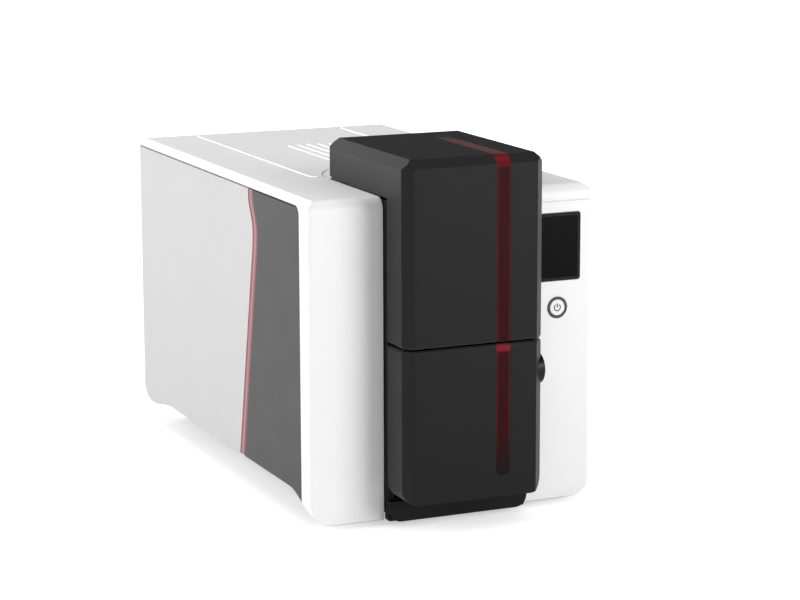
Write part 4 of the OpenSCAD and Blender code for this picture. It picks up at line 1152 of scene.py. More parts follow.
@dataclass
class Fan:
    """Fan behind the rear grille, with curved and twisted blades."""

    hub: float = 8 * MM
    hub_edge: float = 1 * MM
    hub_start: float = 1.8 * MM
    pin: float = 1 * MM
    blades: int = 7
    root_share: float = 0.9
    tip_share: float = 0.985
    blade_half: float = 0.5 * MM
    blade_margin: float = 0.8 * MM
    blade_steps: int = 6
    chord_steps: int = 4
    sweep: float = 0.62
    sweep_loss: float = 0.12
    lean: float = 0.1
    camber: float = 1.25

    def build(self) -> None:
        """Dress the housing and build the hub, its pin and the blades."""
        dress(BLACK_INNER, "fan_housing")
        box = Box.of("fan_rotor")
        hub, edge, low, high = self.hub, self.hub_edge, self.hub_start, box.size.y
        start = Vector((box.mid.x, box.low.y, box.mid.z))
        mesh = bmesh.new()
        profile = [(0, low), (hub, low), (hub, high - edge), (hub - edge, high), (0, high)]
        Workshop.lathe(mesh, profile, Axis.Y, start)
        pin_end = low + edge
        Workshop.lathe(mesh, [(0, 0), (self.pin, 0), (self.pin, pin_end), (0, pin_end)], Axis.Y, start, 16)
        for k in range(self.blades):
            self.blade(mesh, start, 2 * math.pi * k / self.blades, box)
        Workshop.finish_piece("fan_blades", mesh, Body.FAN, BLACK_INNER, ["fan_rotor"], 50)

    def blade(self, mesh: Mesh, start: Vector, turn: float, box: Box) -> None:
        """Add one twisted blade.

        Args:
            mesh: Mesh to add to.
            start: Point on the axis at the rotor's inner end.
            turn: Angle of the blade's root.
            box: Box of the rotor.
        """
        rows, columns = self.blade_steps, self.chord_steps
        faces = [[[mesh.verts.new(start + self.spot(turn, i / rows, j / columns, side, box))
                   for j in range(columns + 1)] for i in range(rows + 1)]
                 for side in (-self.blade_half, self.blade_half)]
        for grid in faces:
            for i in range(rows):
                for j in range(columns):
                    mesh.faces.new([grid[i][j], grid[i + 1][j], grid[i + 1][j + 1], grid[i][j + 1]])
        rim = ([(i, 0) for i in range(rows)] + [(rows, j) for j in range(columns)]
               + [(i, columns) for i in range(rows, 0, -1)] + [(0, j) for j in range(columns, 0, -1)])
        below, above = faces
        for (a, b), (c, d) in zip(rim, rim[1:] + rim[:1]):
            mesh.faces.new([below[a][b], below[c][d], above[c][d], above[a][b]])

    def spot(self, turn: float, out: float, part: float, side: float, box: Box) -> Vector:
        """Place one point of a blade.

        Args:
            turn: Angle of the blade's root.
            out: Share of the way from its root to its tip.
            part: Share of the way across it.
            side: Distance from its middle face.
            box: Box of the rotor.

        Returns:
            The point, from the rotor's inner end.
        """
        root, tip = self.hub * self.root_share, box.size.x / 2 * self.tip_share
        radius = root + (tip - root) * out
        angle = turn + (self.sweep - self.sweep_loss * out) * part + self.lean * out
        depth = box.size.y - self.hub_start - 2 * self.blade_margin
        along = self.hub_start + self.blade_margin + depth * part ** self.camber + side
        return Vector((radius * math.cos(angle), along, radius * math.sin(angle)))


@dataclass
class Lid:
    """Lid over the ribbon, with the print head on its underside."""

    rib_places: tuple[float, ...] = (-30 * MM, -10 * MM, 10 * MM, 30 * MM)
    rib_reach: float = 52 * MM
    rib_drop: float = 4.5 * MM
    rib_sink: float = 0.3 * MM
    rib_front: float = 6 * MM
    rib_back: float = 26 * MM
    bead_r: float = 0.85 * MM
    bead_inset: float = 1.0 * MM
    corner_r: float = 13 * MM
    corner_steps: int = 5
    corner_step_deg: float = 10
    groove_count: int = 5
    groove_pitch: float = 8 * MM
    groove_back: float = 100 * MM
    groove_step: float = 2 * MM
    scoop_half: float = 58 * MM
    scoop_y: float = -0.5 * MM
    scoop_fall: float = 14 * MM
    scoop_power: float = 3
    scoop_bead_r: float = 0.6 * MM
    scoop_sink: float = 0.2 * MM
    scoop_steps: int = 32
    cable_width: float = 26 * MM
    cable_thick: float = 0.3 * MM
    cable_drop: float = 2 * MM
    screw_x: float = 22 * MM
    screw_lift: float = 3 * MM
    screw: ScrewHead = ScrewHead(2.6 * MM, 1.9 * MM, 1.2 * MM, 1.8 * MM, 0.9 * MM, 0.9 * MM)

    def build(self) -> None:
        """Dress the lid and what hangs from it."""
        dress(WHITE_LID, "top_lid")
        dress(STEEL_X, "lid_hinge_pins")
        dress(STEEL, "head_bracket")
        dress(ALUMINIUM, "print_head")
        self.ribs()
        self.beads()
        self.head_cable()
        self.head_screws()

    def ribs(self) -> None:
        """Mould stiffening ribs under the lid, behind the print head."""
        arm = Box.of("head_bracket")
        top, low = arm.high.z + self.rib_sink, arm.high.z - self.rib_drop
        front, back = arm.high.y + self.rib_front, Box.of("top_lid").high.y - self.rib_back
        mesh = bmesh.new()
        for x in self.rib_places:
            Workshop.fin(mesh, Axis.X, x, (front, low), (back, top))
        for y in (front, (front + back) / 2, back):
            Workshop.fin(mesh, Axis.Y, y, (-self.rib_reach, low), (self.rib_reach, top))
        Workshop.finish_piece("lid_ribs", mesh, Body.LID, WHITE_LID)

    def beads(self) -> None:
        """Run fine beads along the lid's sides, its grooves and its scoop; whiter than the lid, they are a
        painted highlight that also catches the lamps' light.
        """
        lid = Box.of("top_lid")
        mesh = bmesh.new()
        for path in self.side_beads(lid) + self.groove_beads(lid.high.z):
            Workshop.tube(mesh, path, self.bead_r)
        Workshop.tube(mesh, self.scoop_bead(lid.high.z - self.scoop_sink), self.scoop_bead_r)
        Workshop.finish_piece("lid_highlight_beads", mesh, Body.LID, WHITE_HIGHLIGHT_BEAD)

    def side_beads(self, lid: Box) -> list[list[Vector]]:
        """Follow the lid's sides and round its front corners.

        Args:
            lid: Box of the lid.

        Returns:
            A path for each side.
        """
        reach = self.corner_r - self.bead_inset
        front, back = lid.low.y + self.corner_r, lid.high.y - self.corner_r
        angles = [math.radians(self.corner_step_deg * k) for k in range(self.corner_steps + 1)]
        spots = [(reach, back)] + [(reach * math.cos(a), front - reach * math.sin(a)) for a in angles]
        sides = ((-1, lid.low.x + self.corner_r), (1, lid.high.x - self.corner_r))
        return [[Vector((turn + side * out, y, lid.high.z)) for out, y in spots] for side, turn in sides]

    def groove_beads(self, level: float) -> list[list[Vector]]:
        """Follow the grooves from the scoop to the rear, where the outer ones end first.

        Args:
            level: Height of the lid's face.

        Returns:
            A path for each groove.
        """
        paths = []
        for k in range(self.groove_count):
            place = k - (self.groove_count - 1) / 2
            ends = (self.scoop_y, self.groove_back - self.groove_step * abs(place))
            paths.append([Vector((place * self.groove_pitch, y, level)) for y in ends])
        return paths

    def scoop_bead(self, level: float) -> list[Vector]:
        """Follow the rear edge of the scoop, which falls away to both sides.

        Args:
            level: Height of the bead's middle.

        Returns:
            The path.
        """
        path = []
        for k in range(self.scoop_steps + 1):
            across = math.cos(math.pi * k / self.scoop_steps)
            fall = 1 - (1 - abs(across) ** self.scoop_power) ** (1 / self.scoop_power)
            path.append(Vector((across * self.scoop_half, self.scoop_y - fall * self.scoop_fall, level)))
        return path

    def head_cable(self) -> None:
        """Lead a flat cable from the print head up behind its bracket."""
        head = Box.of("print_head")
        arm = Box.of("head_bracket")
        start = Vector((0, head.high.y, head.high.z - self.cable_drop))
        end = Vector((0, arm.high.y, arm.high.z))
        rise = ((0, 0), (2.5, 0.5), (3.4, 4), (1.6, 16), (0.4, 34))
        path = [start + Vector((0, y, z)) * MM for y, z in rise]
        path += [end + Vector((0, y, z)) * MM for y, z in ((1.2, -8), (0.6, -3))]
        half = Vector((self.cable_width / 2, 0, 0))
        mesh = bmesh.new()
        rows = []
        for k, point in enumerate(path):
            ahead = (path[min(k + 1, len(path) - 1)] - path[max(k - 1, 0)]).normalized()
            off = ahead.cross(Vector((1, 0, 0))) * self.cable_thick / 2
            corners = (-half - off, half - off, half + off, -half + off)
            rows.append([mesh.verts.new(point + corner) for corner in corners])
        Workshop.skin(mesh, rows)
        Workshop.finish_piece("head_cable", mesh, Body.LID, CABLE, smooth_deg=60)

    def head_screws(self) -> None:
        """Turn the two screws that hold the print head to its bracket."""
        arm = Box.of("head_bracket")
        floor = Box.of("print_head").high.z + self.screw_lift
        mesh = bmesh.new()
        for x in (-self.screw_x, self.screw_x):
            Workshop.lathe(mesh, self.screw.profile(), Axis.Z, Vector((x, arm.mid.y, floor)), 24)
        Workshop.finish_piece("head_screws", mesh, Body.LID, STEEL)


@dataclass
class FrontColumn:
    """Feeder hood, hopper door and the frame behind them."""

    wall: float = 2.5 * MM
    sink: float = 0.3 * MM
    hood_cross: tuple[float, ...] = (0.25, 0.45, 0.65)
    hood_cross_gap: float = 6 * MM
    hood_cross_depth: float = 2.8 * MM
    hood_long: tuple[float, ...] = (-24 * MM, 24 * MM)
    hood_long_start: float = 12 * MM
    hood_long_share: float = 0.7
    hood_long_depth: float = 2.2 * MM
    door_upright: tuple[float, ...] = (-30 * MM, -10 * MM, 10 * MM, 30 * MM)
    door_foot: float = 20 * MM
    door_head: float = 6 * MM
    door_upright_depth: float = 1.6 * MM
    door_cross_half: float = 34 * MM
    door_cross_depth: float = 1.4 * MM

    def build(self) -> None:
        """Dress the column and its red light bar, and mould the ribs inside."""
        dress(BLACK, "feeder_hood", "hopper_door")
        dress(BLACK_INNER, "bay_frame")
        dress(STEEL_X, "hood_hinge_pin", "door_hinge_pins")
        dress(BLACK_CAP, "hopper_release")
        dress(self.light_bar(), "feeder_stripe", "hopper_stripe")
        self.hood_ribs()
        self.door_ribs()

    def hood_ribs(self) -> None:
        """Mould ribs under the hood's roof."""
        hood = Box.of("feeder_hood")
        top = hood.high.z - self.wall + self.sink
        side = hood.high.x - self.wall - self.hood_cross_gap
        front = hood.low.y + self.hood_long_start
        back = hood.low.y + self.hood_long_share * hood.size.y
        mesh = bmesh.new()
        for share in self.hood_cross:
            y = hood.low.y + share * hood.size.y
            Workshop.fin(mesh, Axis.Y, y, (-side, top - self.hood_cross_depth), (side, top))
        for x in self.hood_long:
            Workshop.fin(mesh, Axis.X, x, (front, top - self.hood_long_depth), (back, top))
        Workshop.finish_piece("hood_ribs", mesh, Body.HOOD, BLACK_INNER)

    def door_ribs(self) -> None:
        """Mould upright ribs and a cross rib on the inside of the door."""
        door = Box.of("hopper_door")
        front = door.low.y + self.wall - self.sink
        low, high = door.low.z + self.door_foot, door.high.z - self.door_head
        half = self.door_cross_half
        mesh = bmesh.new()
        for x in self.door_upright:
            Workshop.fin(mesh, Axis.X, x, (front, low), (front + self.door_upright_depth, high))
        Workshop.fin(mesh, Axis.Z, door.mid.z, (-half, front), (half, front + self.door_cross_depth))
        Workshop.finish_piece("door_ribs", mesh, Body.DOOR, BLACK_INNER)

    @staticmethod
    def light_bar() -> LightBar:
        """Return the red bar's finish, with its places taken from the solids."""
        low = Box.of("hopper_stripe")
        high = Box.of("feeder_stripe")
        return LightBar("red_light_bar", "red_translucent", middle_x=low.mid.x, half=low.size.x / 2,
                        foot_z=low.low.z, split_z=(low.high.z + high.low.z) / 2, fold_z=high.high.z,
                        tail_y=high.high.y)


@dataclass
class CardFeeder:
    """Magazine, card weight and output tray."""

    grooves: int = 9
    groove_depth: float = 0.5 * MM
    groove_slope: float = 0.35 * MM
    shaft_radius: float = 1.98 * MM
    wall_gap: float = 2.65 * MM
    wall_rib: float = 1.6 * MM
    wall_ribs: tuple[float, ...] = (0.12, 0.37, 0.63, 0.88)
    rib_foot: float = 3 * MM
    rib_head: float = 2 * MM
    ridges: int = 9
    ridge_first: float = 0.2
    ridge_pitch: float = 0.075
    ridge_reach: float = 7 * MM
    ridge_half: float = 0.7 * MM
    ridge_rise: float = 0.7 * MM
    ridge_sink: float = 0.2 * MM

    def build(self) -> None:
        """Dress what holds the cards and add the feeder's small parts."""
        dress(GREY, "card_magazine", "card_guide")
        dress(ALUMINIUM, "card_weight")
        dress(BLACK_INNER, "hopper_tray")
        self.pick_tyre()
        self.magazine_ribs()
        self.grip_ridges()

    def pick_tyre(self) -> None:
        """Turn the grooved pick roller with its shaft."""
        box = Box.of("pick_roller")
        radius = box.size.z / 2
        root, slope = radius - self.groove_depth, self.groove_slope
        start, end = Workshop.widest("pick_roller")
        pitch = (end - start) / self.grooves
        profile = [(0, start)]
        for low in (start + k * pitch for k in range(self.grooves)):
            profile += [(root, low), (radius, low + slope), (radius, low + pitch - 2 * slope),
                        (root, low + pitch - slope)]
        profile.append((0, end))
        mesh = bmesh.new()
        Workshop.lathe(mesh, profile, Axis.X, box.axle)
        Workshop.finish_piece("pick_tyre", mesh, Body.PICK, RUBBER, ["pick_roller"])
        shaft = bmesh.new()
        ends = (box.low.x, box.high.x)
        Workshop.bar(shaft, box, ends, self.shaft_radius, Workshop.BROKEN_EDGE, 24)
        Workshop.finish_piece("pick_shaft", shaft, Body.PICK, STEEL_X)

    def magazine_ribs(self) -> None:
        """Mould upright ribs on the outside of the magazine's walls."""
        box = Box.of("card_magazine")
        wall = Box.of("card_weight").high.x + self.wall_gap
        low, high = box.low.z + self.rib_foot, box.high.z - self.rib_head
        mesh = bmesh.new()
        for side in (-1, 1):
            left, right = sorted((side * wall, side * (wall + self.wall_rib)))
            for share in self.wall_ribs:
                y = box.low.y + share * box.size.y
                Workshop.fin(mesh, Axis.Y, y, (left, low), (right, high))
        Workshop.finish_piece("magazine_ribs", mesh, Body.HOUSING, GREY)

    def grip_ridges(self) -> None:
        """Raise ridges on the card weight's grip."""
        box = Box.of("card_weight")
        mesh = bmesh.new()
        for k in range(self.ridges):
            y = box.low.y + box.size.y * (self.ridge_first + self.ridge_pitch * k)
            Workshop.rib(mesh, (-self.ridge_reach, y - self.ridge_half, box.high.z - self.ridge_sink),
                         (self.ridge_reach, y + self.ridge_half, box.high.z + self.ridge_rise))
        Workshop.finish_piece("grip_ridges", mesh, Body.WEIGHT, GREY)


@dataclass
class Controls:
    """Display and power button."""

    mark_width: float = 0.75 * MM
    mark_height: float = 0.06 * MM
    mark_share: float = 0.42
    mark_gap_deg: float = 38
    mark_steps: int = 28
    stroke_share: float = 1.25
    mark_edge_share: float = 0.3

    def build(self) -> None:
        """Dress the controls and draw the power mark."""
        dress(BLACK_BEZEL, "display_bezel")
        dress(GLASS, "display_glass")
        dress(STEEL, "display_module")
        dress(BOARD, "control_board")
        dress(RING_GREY, "power_ring")
        dress(WHITE, "power_button")
        self.power_mark()

    def power_mark(self) -> None:
        """Draw the broken circle and the stroke of the power mark."""
        box = Box.of("power_button")
        radius = box.size.x / 2 * self.mark_share
        gap = math.radians(self.mark_gap_deg)
        middle = Vector((box.mid.x, box.low.y, box.mid.z))
        depth = Vector((0, -self.mark_height, 0))
        half = self.mark_width / 2
        steps = self.mark_steps
        angles = [math.pi / 2 + gap + (2 * math.pi - 2 * gap) * k / steps for k in range(steps + 1)]
        inner, outer = ([middle + Vector((r * math.cos(a), 0, r * math.sin(a))) for a in angles]
                        for r in (radius - half, radius + half))
        mesh = bmesh.new()
        for k in range(steps):
            Workshop.slab(mesh, [inner[k], inner[k + 1], outer[k + 1], outer[k]], depth)
        Workshop.plate(mesh, middle + Vector((-half, -self.mark_height, 0)),
                       middle + Vector((half, 0, radius * self.stroke_share)), half * self.mark_edge_share)
        Workshop.finish_piece("power_mark", mesh, Body.POWER_KEY, INK)


@dataclass
class PrintEngine:
    """Chassis, rollers and their drive."""

    shaft_play: float = 0.02 * MM
    tip_length: float = 0.1 * MM
    sleeve_edge: float = 0.6 * MM
    bushing_bore: float = 3.08 * MM
    bushing_lip: float = 1.6 * MM
    bushing_wide: float = 1.0 * MM
    bushing_edge: float = 0.2 * MM
    belt_pitch: float = 2.5 * MM
    belt_thick: float = 1.0 * MM
    belt_root_share: float = 0.5
    motor_screw_inset: float = 5 * MM
    motor_plug_x: float = 8 * MM
    motor_plug_edge: float = 0.6 * MM
    bar_inset: float = 3 * MM
    bar_screw: ScrewHead = ScrewHead(3.4 * MM, 2.4 * MM, 0.7 * MM, 1.5 * MM, 1.1 * MM, 0.6 * MM)

    def build(self) -> None:
        """Dress the engine and add its bushings, belt teeth and motor parts."""
        dress(STEEL, "left_chassis_plate", "right_chassis_plate", "chassis_bars", "drive_motor")
        dress(STEEL_X, "entry_pinch_roller", "exit_pinch_roller")
        dress(ALUMINIUM, "entry_pulley", "platen_pulley", "exit_pulley")
        dress(NYLON, "drive_gear")
        dress(BRASS, "motor_pinion")
        for name, body in (("entry", Body.ENTRY), ("platen", Body.PLATEN), ("exit", Body.EXIT)):
            self.drive_roller(name, body)
        self.bushings()
        self.belt()
        self.motor_cap()
        self.plate_screws()

    def drive_roller(self, name: str, body: Body) -> None:
        """Turn a ground rubber sleeve and the steel shaft through it.

        Args:
            name: First word of the roller's name.
            body: Body that it turns with.
        """
        node = f"{name}_roller"
        box = Box.of(node)
        sleeve = bmesh.new()
        Workshop.bar(sleeve, box, Workshop.widest(node), box.size.z / 2, self.sleeve_edge)
        Workshop.finish_piece(f"{name}_sleeve", sleeve, body, RUBBER, [node])
        tip = [p for p in points(node) if p.x < box.low.x + self.tip_length]
        thin = min(math.hypot(p.y - box.mid.y, p.z - box.mid.z) for p in tip) - self.shaft_play
        shaft = bmesh.new()
        Workshop.bar(shaft, box, (box.low.x, box.high.x), thin, Workshop.BROKEN_EDGE, 32)
        Workshop.finish_piece(f"{name}_shaft", shaft, body, STEEL_X)

    def bushings(self) -> None:
        """Turn the flanged bushings that carry the shafts in both plates."""
        plate = Box.of("left_chassis_plate")
        bore, wide, edge = self.bushing_bore, self.bushing_wide, self.bushing_edge
        lip = bore + self.bushing_lip
        profile = [(bore, -wide), (lip - edge, -wide), (lip, edge - wide), (lip, 0.0), (bore, 0.0)]
        mesh = bmesh.new()
        for box in (Box.of(node) for node in ("entry_roller", "platen_roller", "exit_roller")):
            for side in (-1, 1):
                start = box.axle + Vector((side * -plate.low.x, 0, 0))
                Workshop.lathe(mesh, [(r, -side * x) for r, x in profile], Axis.X, start, 32)
        Workshop.finish_piece("shaft_bushings", mesh, Body.HOUSING, BRASS)

    def belt(self) -> None:
        """Draw the toothed belt round the first and the last pulley."""
        box = Box.of("drive_belt")
        outer = box.size.z / 2
        thick = self.belt_thick
        bend = outer - thick
        front = Vector((0, box.low.y + outer, box.mid.z))
        run = box.size.y - 2 * outer
        arc = math.pi * bend
        count = 4 * round((2 * run + 2 * arc) / self.belt_pitch)
        mesh = bmesh.new()
        rings = []
        for k in range(count):
            far = (2 * run + 2 * arc) * k / count
            depth = thick if k % 4 < 2 else thick * self.belt_root_share
            if far < run:
                shift, turn = far, math.pi / 2
            elif far < run + arc:
                shift, turn = run, math.pi / 2 - (far - run) / bend
            elif far < 2 * run + arc:
                shift, turn = 2 * run + arc - far, -math.pi / 2
            else:
                shift, turn = 0.0, -math.pi / 2 - (far - 2 * run - arc) / bend
            middle = front + Vector((0, shift, 0))
            way = Vector((0, math.cos(turn), math.sin(turn)))
            corners = ((box.low.x, outer - depth), (box.low.x, outer), (box.high.x, outer),
                       (box.high.x, outer - depth))
            rings.append([mesh.verts.new(middle + way * reach + Vector((x, 0, 0))) for x, reach in corners])
        Workshop.skin(mesh, rings, ring_shaped=True)
        Workshop.finish_piece("toothed_belt", mesh, Body.HOUSING, RUBBER, ["drive_belt"], 25)

    def motor_cap(self) -> None:
        """Add the motor's rear bearing cap, its corner screws and its plug."""
        box = Box.of("drive_motor")
        middle = Vector((box.low.x, box.mid.y, box.mid.z))
        cap = bmesh.new()
        cover = in_mm((0, -1.6), (5, -1.6), (5.6, -1), (5.6, -0.6), (11, -0.6), (11.6, 0.2), (0, 0.2))
        Workshop.lathe(cap, cover, Axis.X, middle)
        Workshop.finish_piece("motor_cap", cap, Body.HOUSING, ALUMINIUM)
        screws = bmesh.new()
        head = in_mm((0, -0.8), (0.8, -0.8), (0.8, -1.4), (1.9, -1.1), (2.2, 0.2), (0, 0.2))
        reach = box.size.y / 2 - self.motor_screw_inset
        for y in (-reach, reach):
            for z in (-reach, reach):
                Workshop.lathe(screws, head, Axis.X, middle + Vector((0, y, z)), 24)
        Workshop.finish_piece("motor_screws", screws, Body.HOUSING, STEEL)
        plug = bmesh.new()
        top = Vector((box.low.x + self.motor_plug_x, box.mid.y, box.low.z))
        low, high = top + Vector((-4, -6, -5)) * MM, top + Vector((4, 6, 0.2)) * MM
        Workshop.plate(plug, low, high, self.motor_plug_edge)
        Workshop.finish_piece("motor_plug", plug, Body.HOUSING, NYLON)

    def plate_screws(self) -> None:
        """Turn a screw head on both ends of each cross bar."""
        bars = Box.of("chassis_bars")
        plate = Box.of("left_chassis_plate")
        mesh = bmesh.new()
        for y in (bars.low.y + self.bar_inset, bars.high.y - self.bar_inset):
            for side in (-1, 1):
                start = Vector((side * -plate.low.x, y, bars.low.z + self.bar_inset))
                Workshop.lathe(mesh, [(r, side * x) for r, x in self.bar_screw.profile()], Axis.X, start, 24)
        Workshop.finish_piece("plate_screws", mesh, Body.HOUSING, STEEL)


@dataclass
class RibbonUnit:
    """Ribbon cassette with its two spools and the film between them."""

    ratchet_bore: float = 7.9 * MM
    ratchet_tip: float = 9.6 * MM
    tooth_height: float = 0.9 * MM
    ratchet_wide: float = 2.4 * MM
    ratchet_teeth: int = 24
    film_gap: float = 0.6 * MM

    def build(self) -> None:
        """Dress the ribbon unit and add the spools' ratchet wheels."""
        dress(LIGHT_GREY, "ribbon_cassette")
        dress(WOUND, "supply_spool", "takeup_spool")
        dress(RIBBON, "ribbon_film")
        self.ratchet("supply", Body.SUPPLY)
        self.ratchet("takeup", Body.TAKEUP)

    def ratchet(self, name: str, body: Body) -> None:
        """Cut the two toothed wheels at a spool's ends.

        Args:
            name: First word of the spool's name.
            body: Body that they turn with.
        """
        axle = Box.of(f"{name}_spool").axle
        film = Box.of("ribbon_film")
        radii = (self.ratchet_bore, self.ratchet_tip - self.tooth_height, self.ratchet_tip)
        mesh = bmesh.new()
        for x in (film.low.x - self.film_gap - self.ratchet_wide, film.high.x + self.film_gap):
            Workshop.wheel(mesh, axle + Vector((x, 0, 0)), radii, self.ratchet_wide, self.ratchet_teeth)
        Workshop.finish_piece(f"{name}_ratchets", mesh, body, NYLON, smooth_deg=20)


@dataclass(frozen=True)
class Chip:
    """Flat chip with legs along both of its long sides."""

    along: float
    height: float
    width_mm: int

    @property
    def legs(self) -> int:
        """Number of legs on one side."""
        return self.width_mm // 2 + 1


@dataclass
class Electronics:
    """Main board with its chips, plugs and capacitors."""

    chips: tuple[Chip, ...] = (Chip(0.16, 0.80, 11), Chip(0.30, 0.62, 9), Chip(0.60, 0.72, 13),
                               Chip(0.72, 0.50, 9), Chip(0.30, 0.86, 7))
    chip_half: float = 4 * MM
    chip_thick: float = 1.8 * MM
    chip_edge: float = 0.2 * MM
    chip_sink: float = 0.1 * MM
    leg_half: float = 0.225 * MM
    leg_inset: float = 0.8 * MM
    leg_start: float = 3.8 * MM
    leg_end: float = 5.4 * MM
    leg_rise: float = 0.7 * MM
    leg_edge: float = 0.05 * MM
    can_radius: float = 6 * MM
    can_count: int = 3
    top_play: float = 0.1 * MM
    least_post: float = 15 * MM
    plug_count: int = 4
    plug_inset: float = 2 * MM
    pin_count: int = 6
    pin_pitch: float = 2.8 * MM
    pin_half: float = 0.3 * MM
    pin_height: float = 26 * MM
    pin_tip: float = 8.7 * MM
    pin_root: float = 7.5 * MM

    def build(self) -> None:
        """Dress the board and add its components."""
        dress(BOARD, "main_board")
        self.add_chips()
        self.capacitor_tops()
        self.plug_pins()

    def face(self) -> float:
        """Return the place of the board's outer face, where most points beyond its posts lie."""
        places = [round(p.x, 5) for p in points("main_board")]
        inner = max(places)
        return max((x for x in set(places) if x < inner - self.least_post), key=places.count)

    def add_chips(self) -> None:
        """Add small chips with legs on both sides."""
        box = Box.of("main_board")
        face = self.face()
        body = bmesh.new()
        legs = bmesh.new()
        for chip in self.chips:
            y = box.low.y + chip.along * box.size.y
            z = box.low.z + chip.height * box.size.z
            half = chip.width_mm * MM / 2
            Workshop.rib(body, (face - self.chip_thick, y - half, z - self.chip_half),
                         (face + self.chip_sink, y + half, z + self.chip_half), self.chip_edge)
            first = y - half + self.leg_inset
            pitch = 2 * (half - self.leg_inset) / (chip.legs - 1)
            for k in range(chip.legs):
                spot = first + k * pitch
                for side in (-1, 1):
                    low, high = sorted((z + side * self.leg_start, z + side * self.leg_end))
                    Workshop.rib(legs, (face - self.leg_rise, spot - self.leg_half, low),
                                 (face + self.leg_edge, spot + self.leg_half, high), self.leg_edge)
        Workshop.finish_piece("board_chips", body, Body.HOUSING, CHIP)
        Workshop.finish_piece("chip_legs", legs, Body.HOUSING, TIN)

    def capacitor_tops(self) -> None:
        """Turn the bright, dished tops of the three capacitors."""
        box = Box.of("main_board")
        tops = [p for p in points("main_board") if p.x < box.low.x + self.top_play]
        heights = [p.z for p in tops]
        radius = self.can_radius
        y = (min(p.y for p in tops) + max(p.y for p in tops)) / 2
        step = (max(heights) - min(heights) - 2 * radius) / (self.can_count - 1)
        dish = ((0.78, -0.1), (0.86, -0.35), (0.96, -0.2), (1.01, 0.4), (1.01, 1.4), (0.9, 1.6))
        profile = [(0, -0.1 * MM)] + [(radius * share, along * MM) for share, along in dish] + [(0, 1.6 * MM)]
        mesh = bmesh.new()
        for k in range(self.can_count):
            z = min(heights) + radius + k * step
            Workshop.lathe(mesh, profile, Axis.X, Vector((box.low.x, y, z)), 32)
        Workshop.finish_piece("capacitor_tops", mesh, Body.HOUSING, ALUMINIUM)

    def plug_pins(self) -> None:
        """Add a row of pins in each plug."""
        box = Box.of("main_board")
        face = self.face()
        half = self.pin_half
        z = box.low.z + self.pin_height
        step = box.size.y / (self.plug_count + 1)
        mesh = bmesh.new()
        for k in range(self.plug_count):
            start = box.low.y + step * (k + 0.5) + self.plug_inset
            for y in (start + n * self.pin_pitch for n in range(self.pin_count)):
                Workshop.rib(mesh, (face - self.pin_tip, y - half, z - half),
                             (face - self.pin_root, y + half, z + half), self.leg_edge)
        Workshop.finish_piece("plug_pins", mesh, Body.HOUSING, TIN)


@dataclass(frozen=True)
class Lamp:
    """Square softbox that faces the printer."""

    name: str
    place: tuple[float, float, float]
    size: float
    watts: float
    aim: tuple[float, float, float] = (0, 0, 0.1)

    def hang(self) -> None:
        """Put the lamp into the scene."""
        data = bpy.data.lights.new(self.name, "AREA")
        data.shape = "SQUARE"
        data.size = self.size
        data.energy = self.watts
        shown = bpy.data.objects.new(self.name, data)
        shown.location = self.place
        way = Vector(self.aim) - Vector(self.place)
        shown.rotation_euler = way.to_track_quat("-Z", "Y").to_euler()
        bpy.context.scene.collection.objects.link(shown)


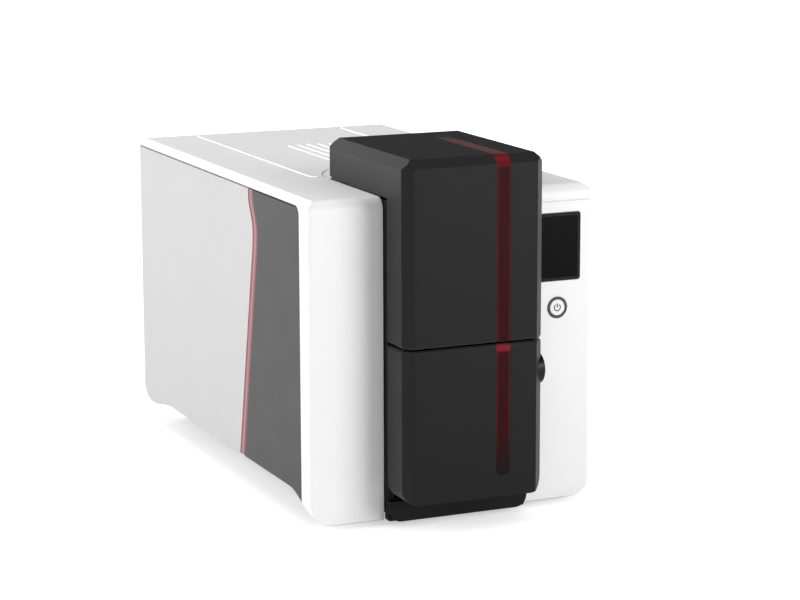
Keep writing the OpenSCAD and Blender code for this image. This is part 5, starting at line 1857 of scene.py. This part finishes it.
@dataclass
class Studio:
    """Camera, pale floor, white surroundings and soft lamps."""

    place: tuple[float, float, float] = (-0.689882, -1.627798, 0.471382)
    yaw_deg: float = 23.876
    pitch_deg: float = 11.265
    roll_deg: float = -0.157
    lens_mm: float = 113.435
    sensor_mm: float = 36.0
    floor_size: float = 18.0
    floor_glow: float = 0.5
    glow_band: tuple[float, float] = (0.55, 1.8)
    world_fill: float = 0.41
    ceiling_level: float = 0.12
    horizon_band: tuple[float, float] = (0.0, 0.1)
    lamps: tuple[Lamp, ...] = (
        Lamp("left_softbox", (-1.9, 0.2, 0.9), 1.6, 26.0),
        Lamp("right_softbox", (1.0, -1.7, 0.75), 1.0, 22.2),
        Lamp("top_softbox", (-0.3, 0.8, 2.1), 1.6, 15.5),
        Lamp("rear_softbox", (-0.75, 2.3, 1.15), 0.8, 7.0),
    )

    def build(self) -> None:
        """Set up camera, floor, world and lamps."""
        scene = bpy.context.scene
        scene.view_settings.view_transform = "Standard"
        self.camera(scene)
        self.floor()
        self.world(scene)
        for lamp in self.lamps:
            lamp.hang()

    def camera(self, scene: bpy.types.Scene) -> None:
        """Set the camera where the photograph was taken from.

        Args:
            scene: Scene that gets the camera.
        """
        yaw, pitch, roll = (math.radians(v) for v in (self.yaw_deg, self.pitch_deg, self.roll_deg))
        ahead = Vector((math.sin(yaw) * math.cos(pitch), math.cos(yaw) * math.cos(pitch), -math.sin(pitch)))
        side = Vector((math.cos(yaw), -math.sin(yaw), 0))
        up = side.cross(ahead)
        right = math.cos(roll) * side + math.sin(roll) * up
        top = math.cos(roll) * up - math.sin(roll) * side
        data = bpy.data.cameras.new("camera")
        data.sensor_width = self.sensor_mm
        data.lens = self.lens_mm
        data.clip_end = 200
        shown = bpy.data.objects.new("camera", data)
        turn = Matrix((right, top, -ahead)).transposed().to_4x4()
        shown.matrix_world = Matrix.Translation(self.place) @ turn
        scene.collection.objects.link(shown)
        scene.camera = shown

    def floor(self) -> None:
        """Lay a pale floor that keeps the printer's shadow and glows white further out."""
        half = self.floor_size / 2
        mesh = bmesh.new()
        corners = ((-half, -half), (half, -half), (half, half), (-half, half))
        mesh.faces.new([mesh.verts.new((x, y, 0)) for x, y in corners])
        made = Shader("pale_floor")
        made.colour(made.blend(made.noise(0.4, 2.0), linear("F4F4F4"), linear("F8F8F8")))
        made.set(Roughness=0.9, Specular_IOR_Level=0.1, Emission_Color=(1, 1, 1, 1))
        squares = [made.math("POWER", made.axis(axis), 2.0) for axis in (Axis.X, Axis.Y)]
        far = made.math("SQRT", made.math("ADD", *squares))
        rise = made.math("MULTIPLY", made.step(far, *self.glow_band), 1 - self.floor_glow)
        glow = made.math("ADD", rise, self.floor_glow)
        made.set(Emission_Strength=made.math("MULTIPLY", made.seen(), glow))
        shown = Workshop.place_mesh("floor", mesh, made.material)

    def world(self, scene: bpy.types.Scene) -> None:
        """Surround the scene with white that lights it softly.

        Args:
            scene: Scene that gets the world.
        """
        world = bpy.data.worlds.new("studio")
        world.use_nodes = True
        made = Nodes(world.node_tree)
        back = world.node_tree.nodes["Background"]
        back.inputs["Color"].default_value = (1, 1, 1, 1)
        shown = self.ceiling(made)
        level = made.spread(made.seen(), (0.0, 1.0), (self.world_fill, shown))
        made.join(level, back.inputs["Strength"])
        scene.world = world

    def ceiling(self, made: Nodes) -> Socket:
        """Make the ceiling darker than the white horizon, for what glossy covers mirror.

        Args:
            made: The world's node tree.

        Returns:
            Strength of the white surroundings where they are seen or mirrored.
        """
        height = made.part(made.add("ShaderNodeTexCoord").outputs["Generated"], Axis.Z)
        dim = made.spread(height, self.horizon_band, (1.0, self.ceiling_level))
        glossy = made.add("ShaderNodeLightPath").outputs["Is Glossy Ray"]
        return made.spread(glossy, (0.0, 1.0), (1.0, dim))


def main() -> None:
    """Build the sub-assemblies in order."""
    logging.basicConfig(level=logging.INFO, format="%(name)s: %(message)s")
    assemblies = (Studio(), Housing(), SidePanels(), RearPanel(), Fan(), Lid(), FrontColumn(), CardFeeder(),
                  Controls(), PrintEngine(), RibbonUnit(), Electronics())
    for assembly in assemblies:
        LOG.info("building %s", type(assembly).__name__)
        assembly.build()


if __name__ == "__main__":
    main()
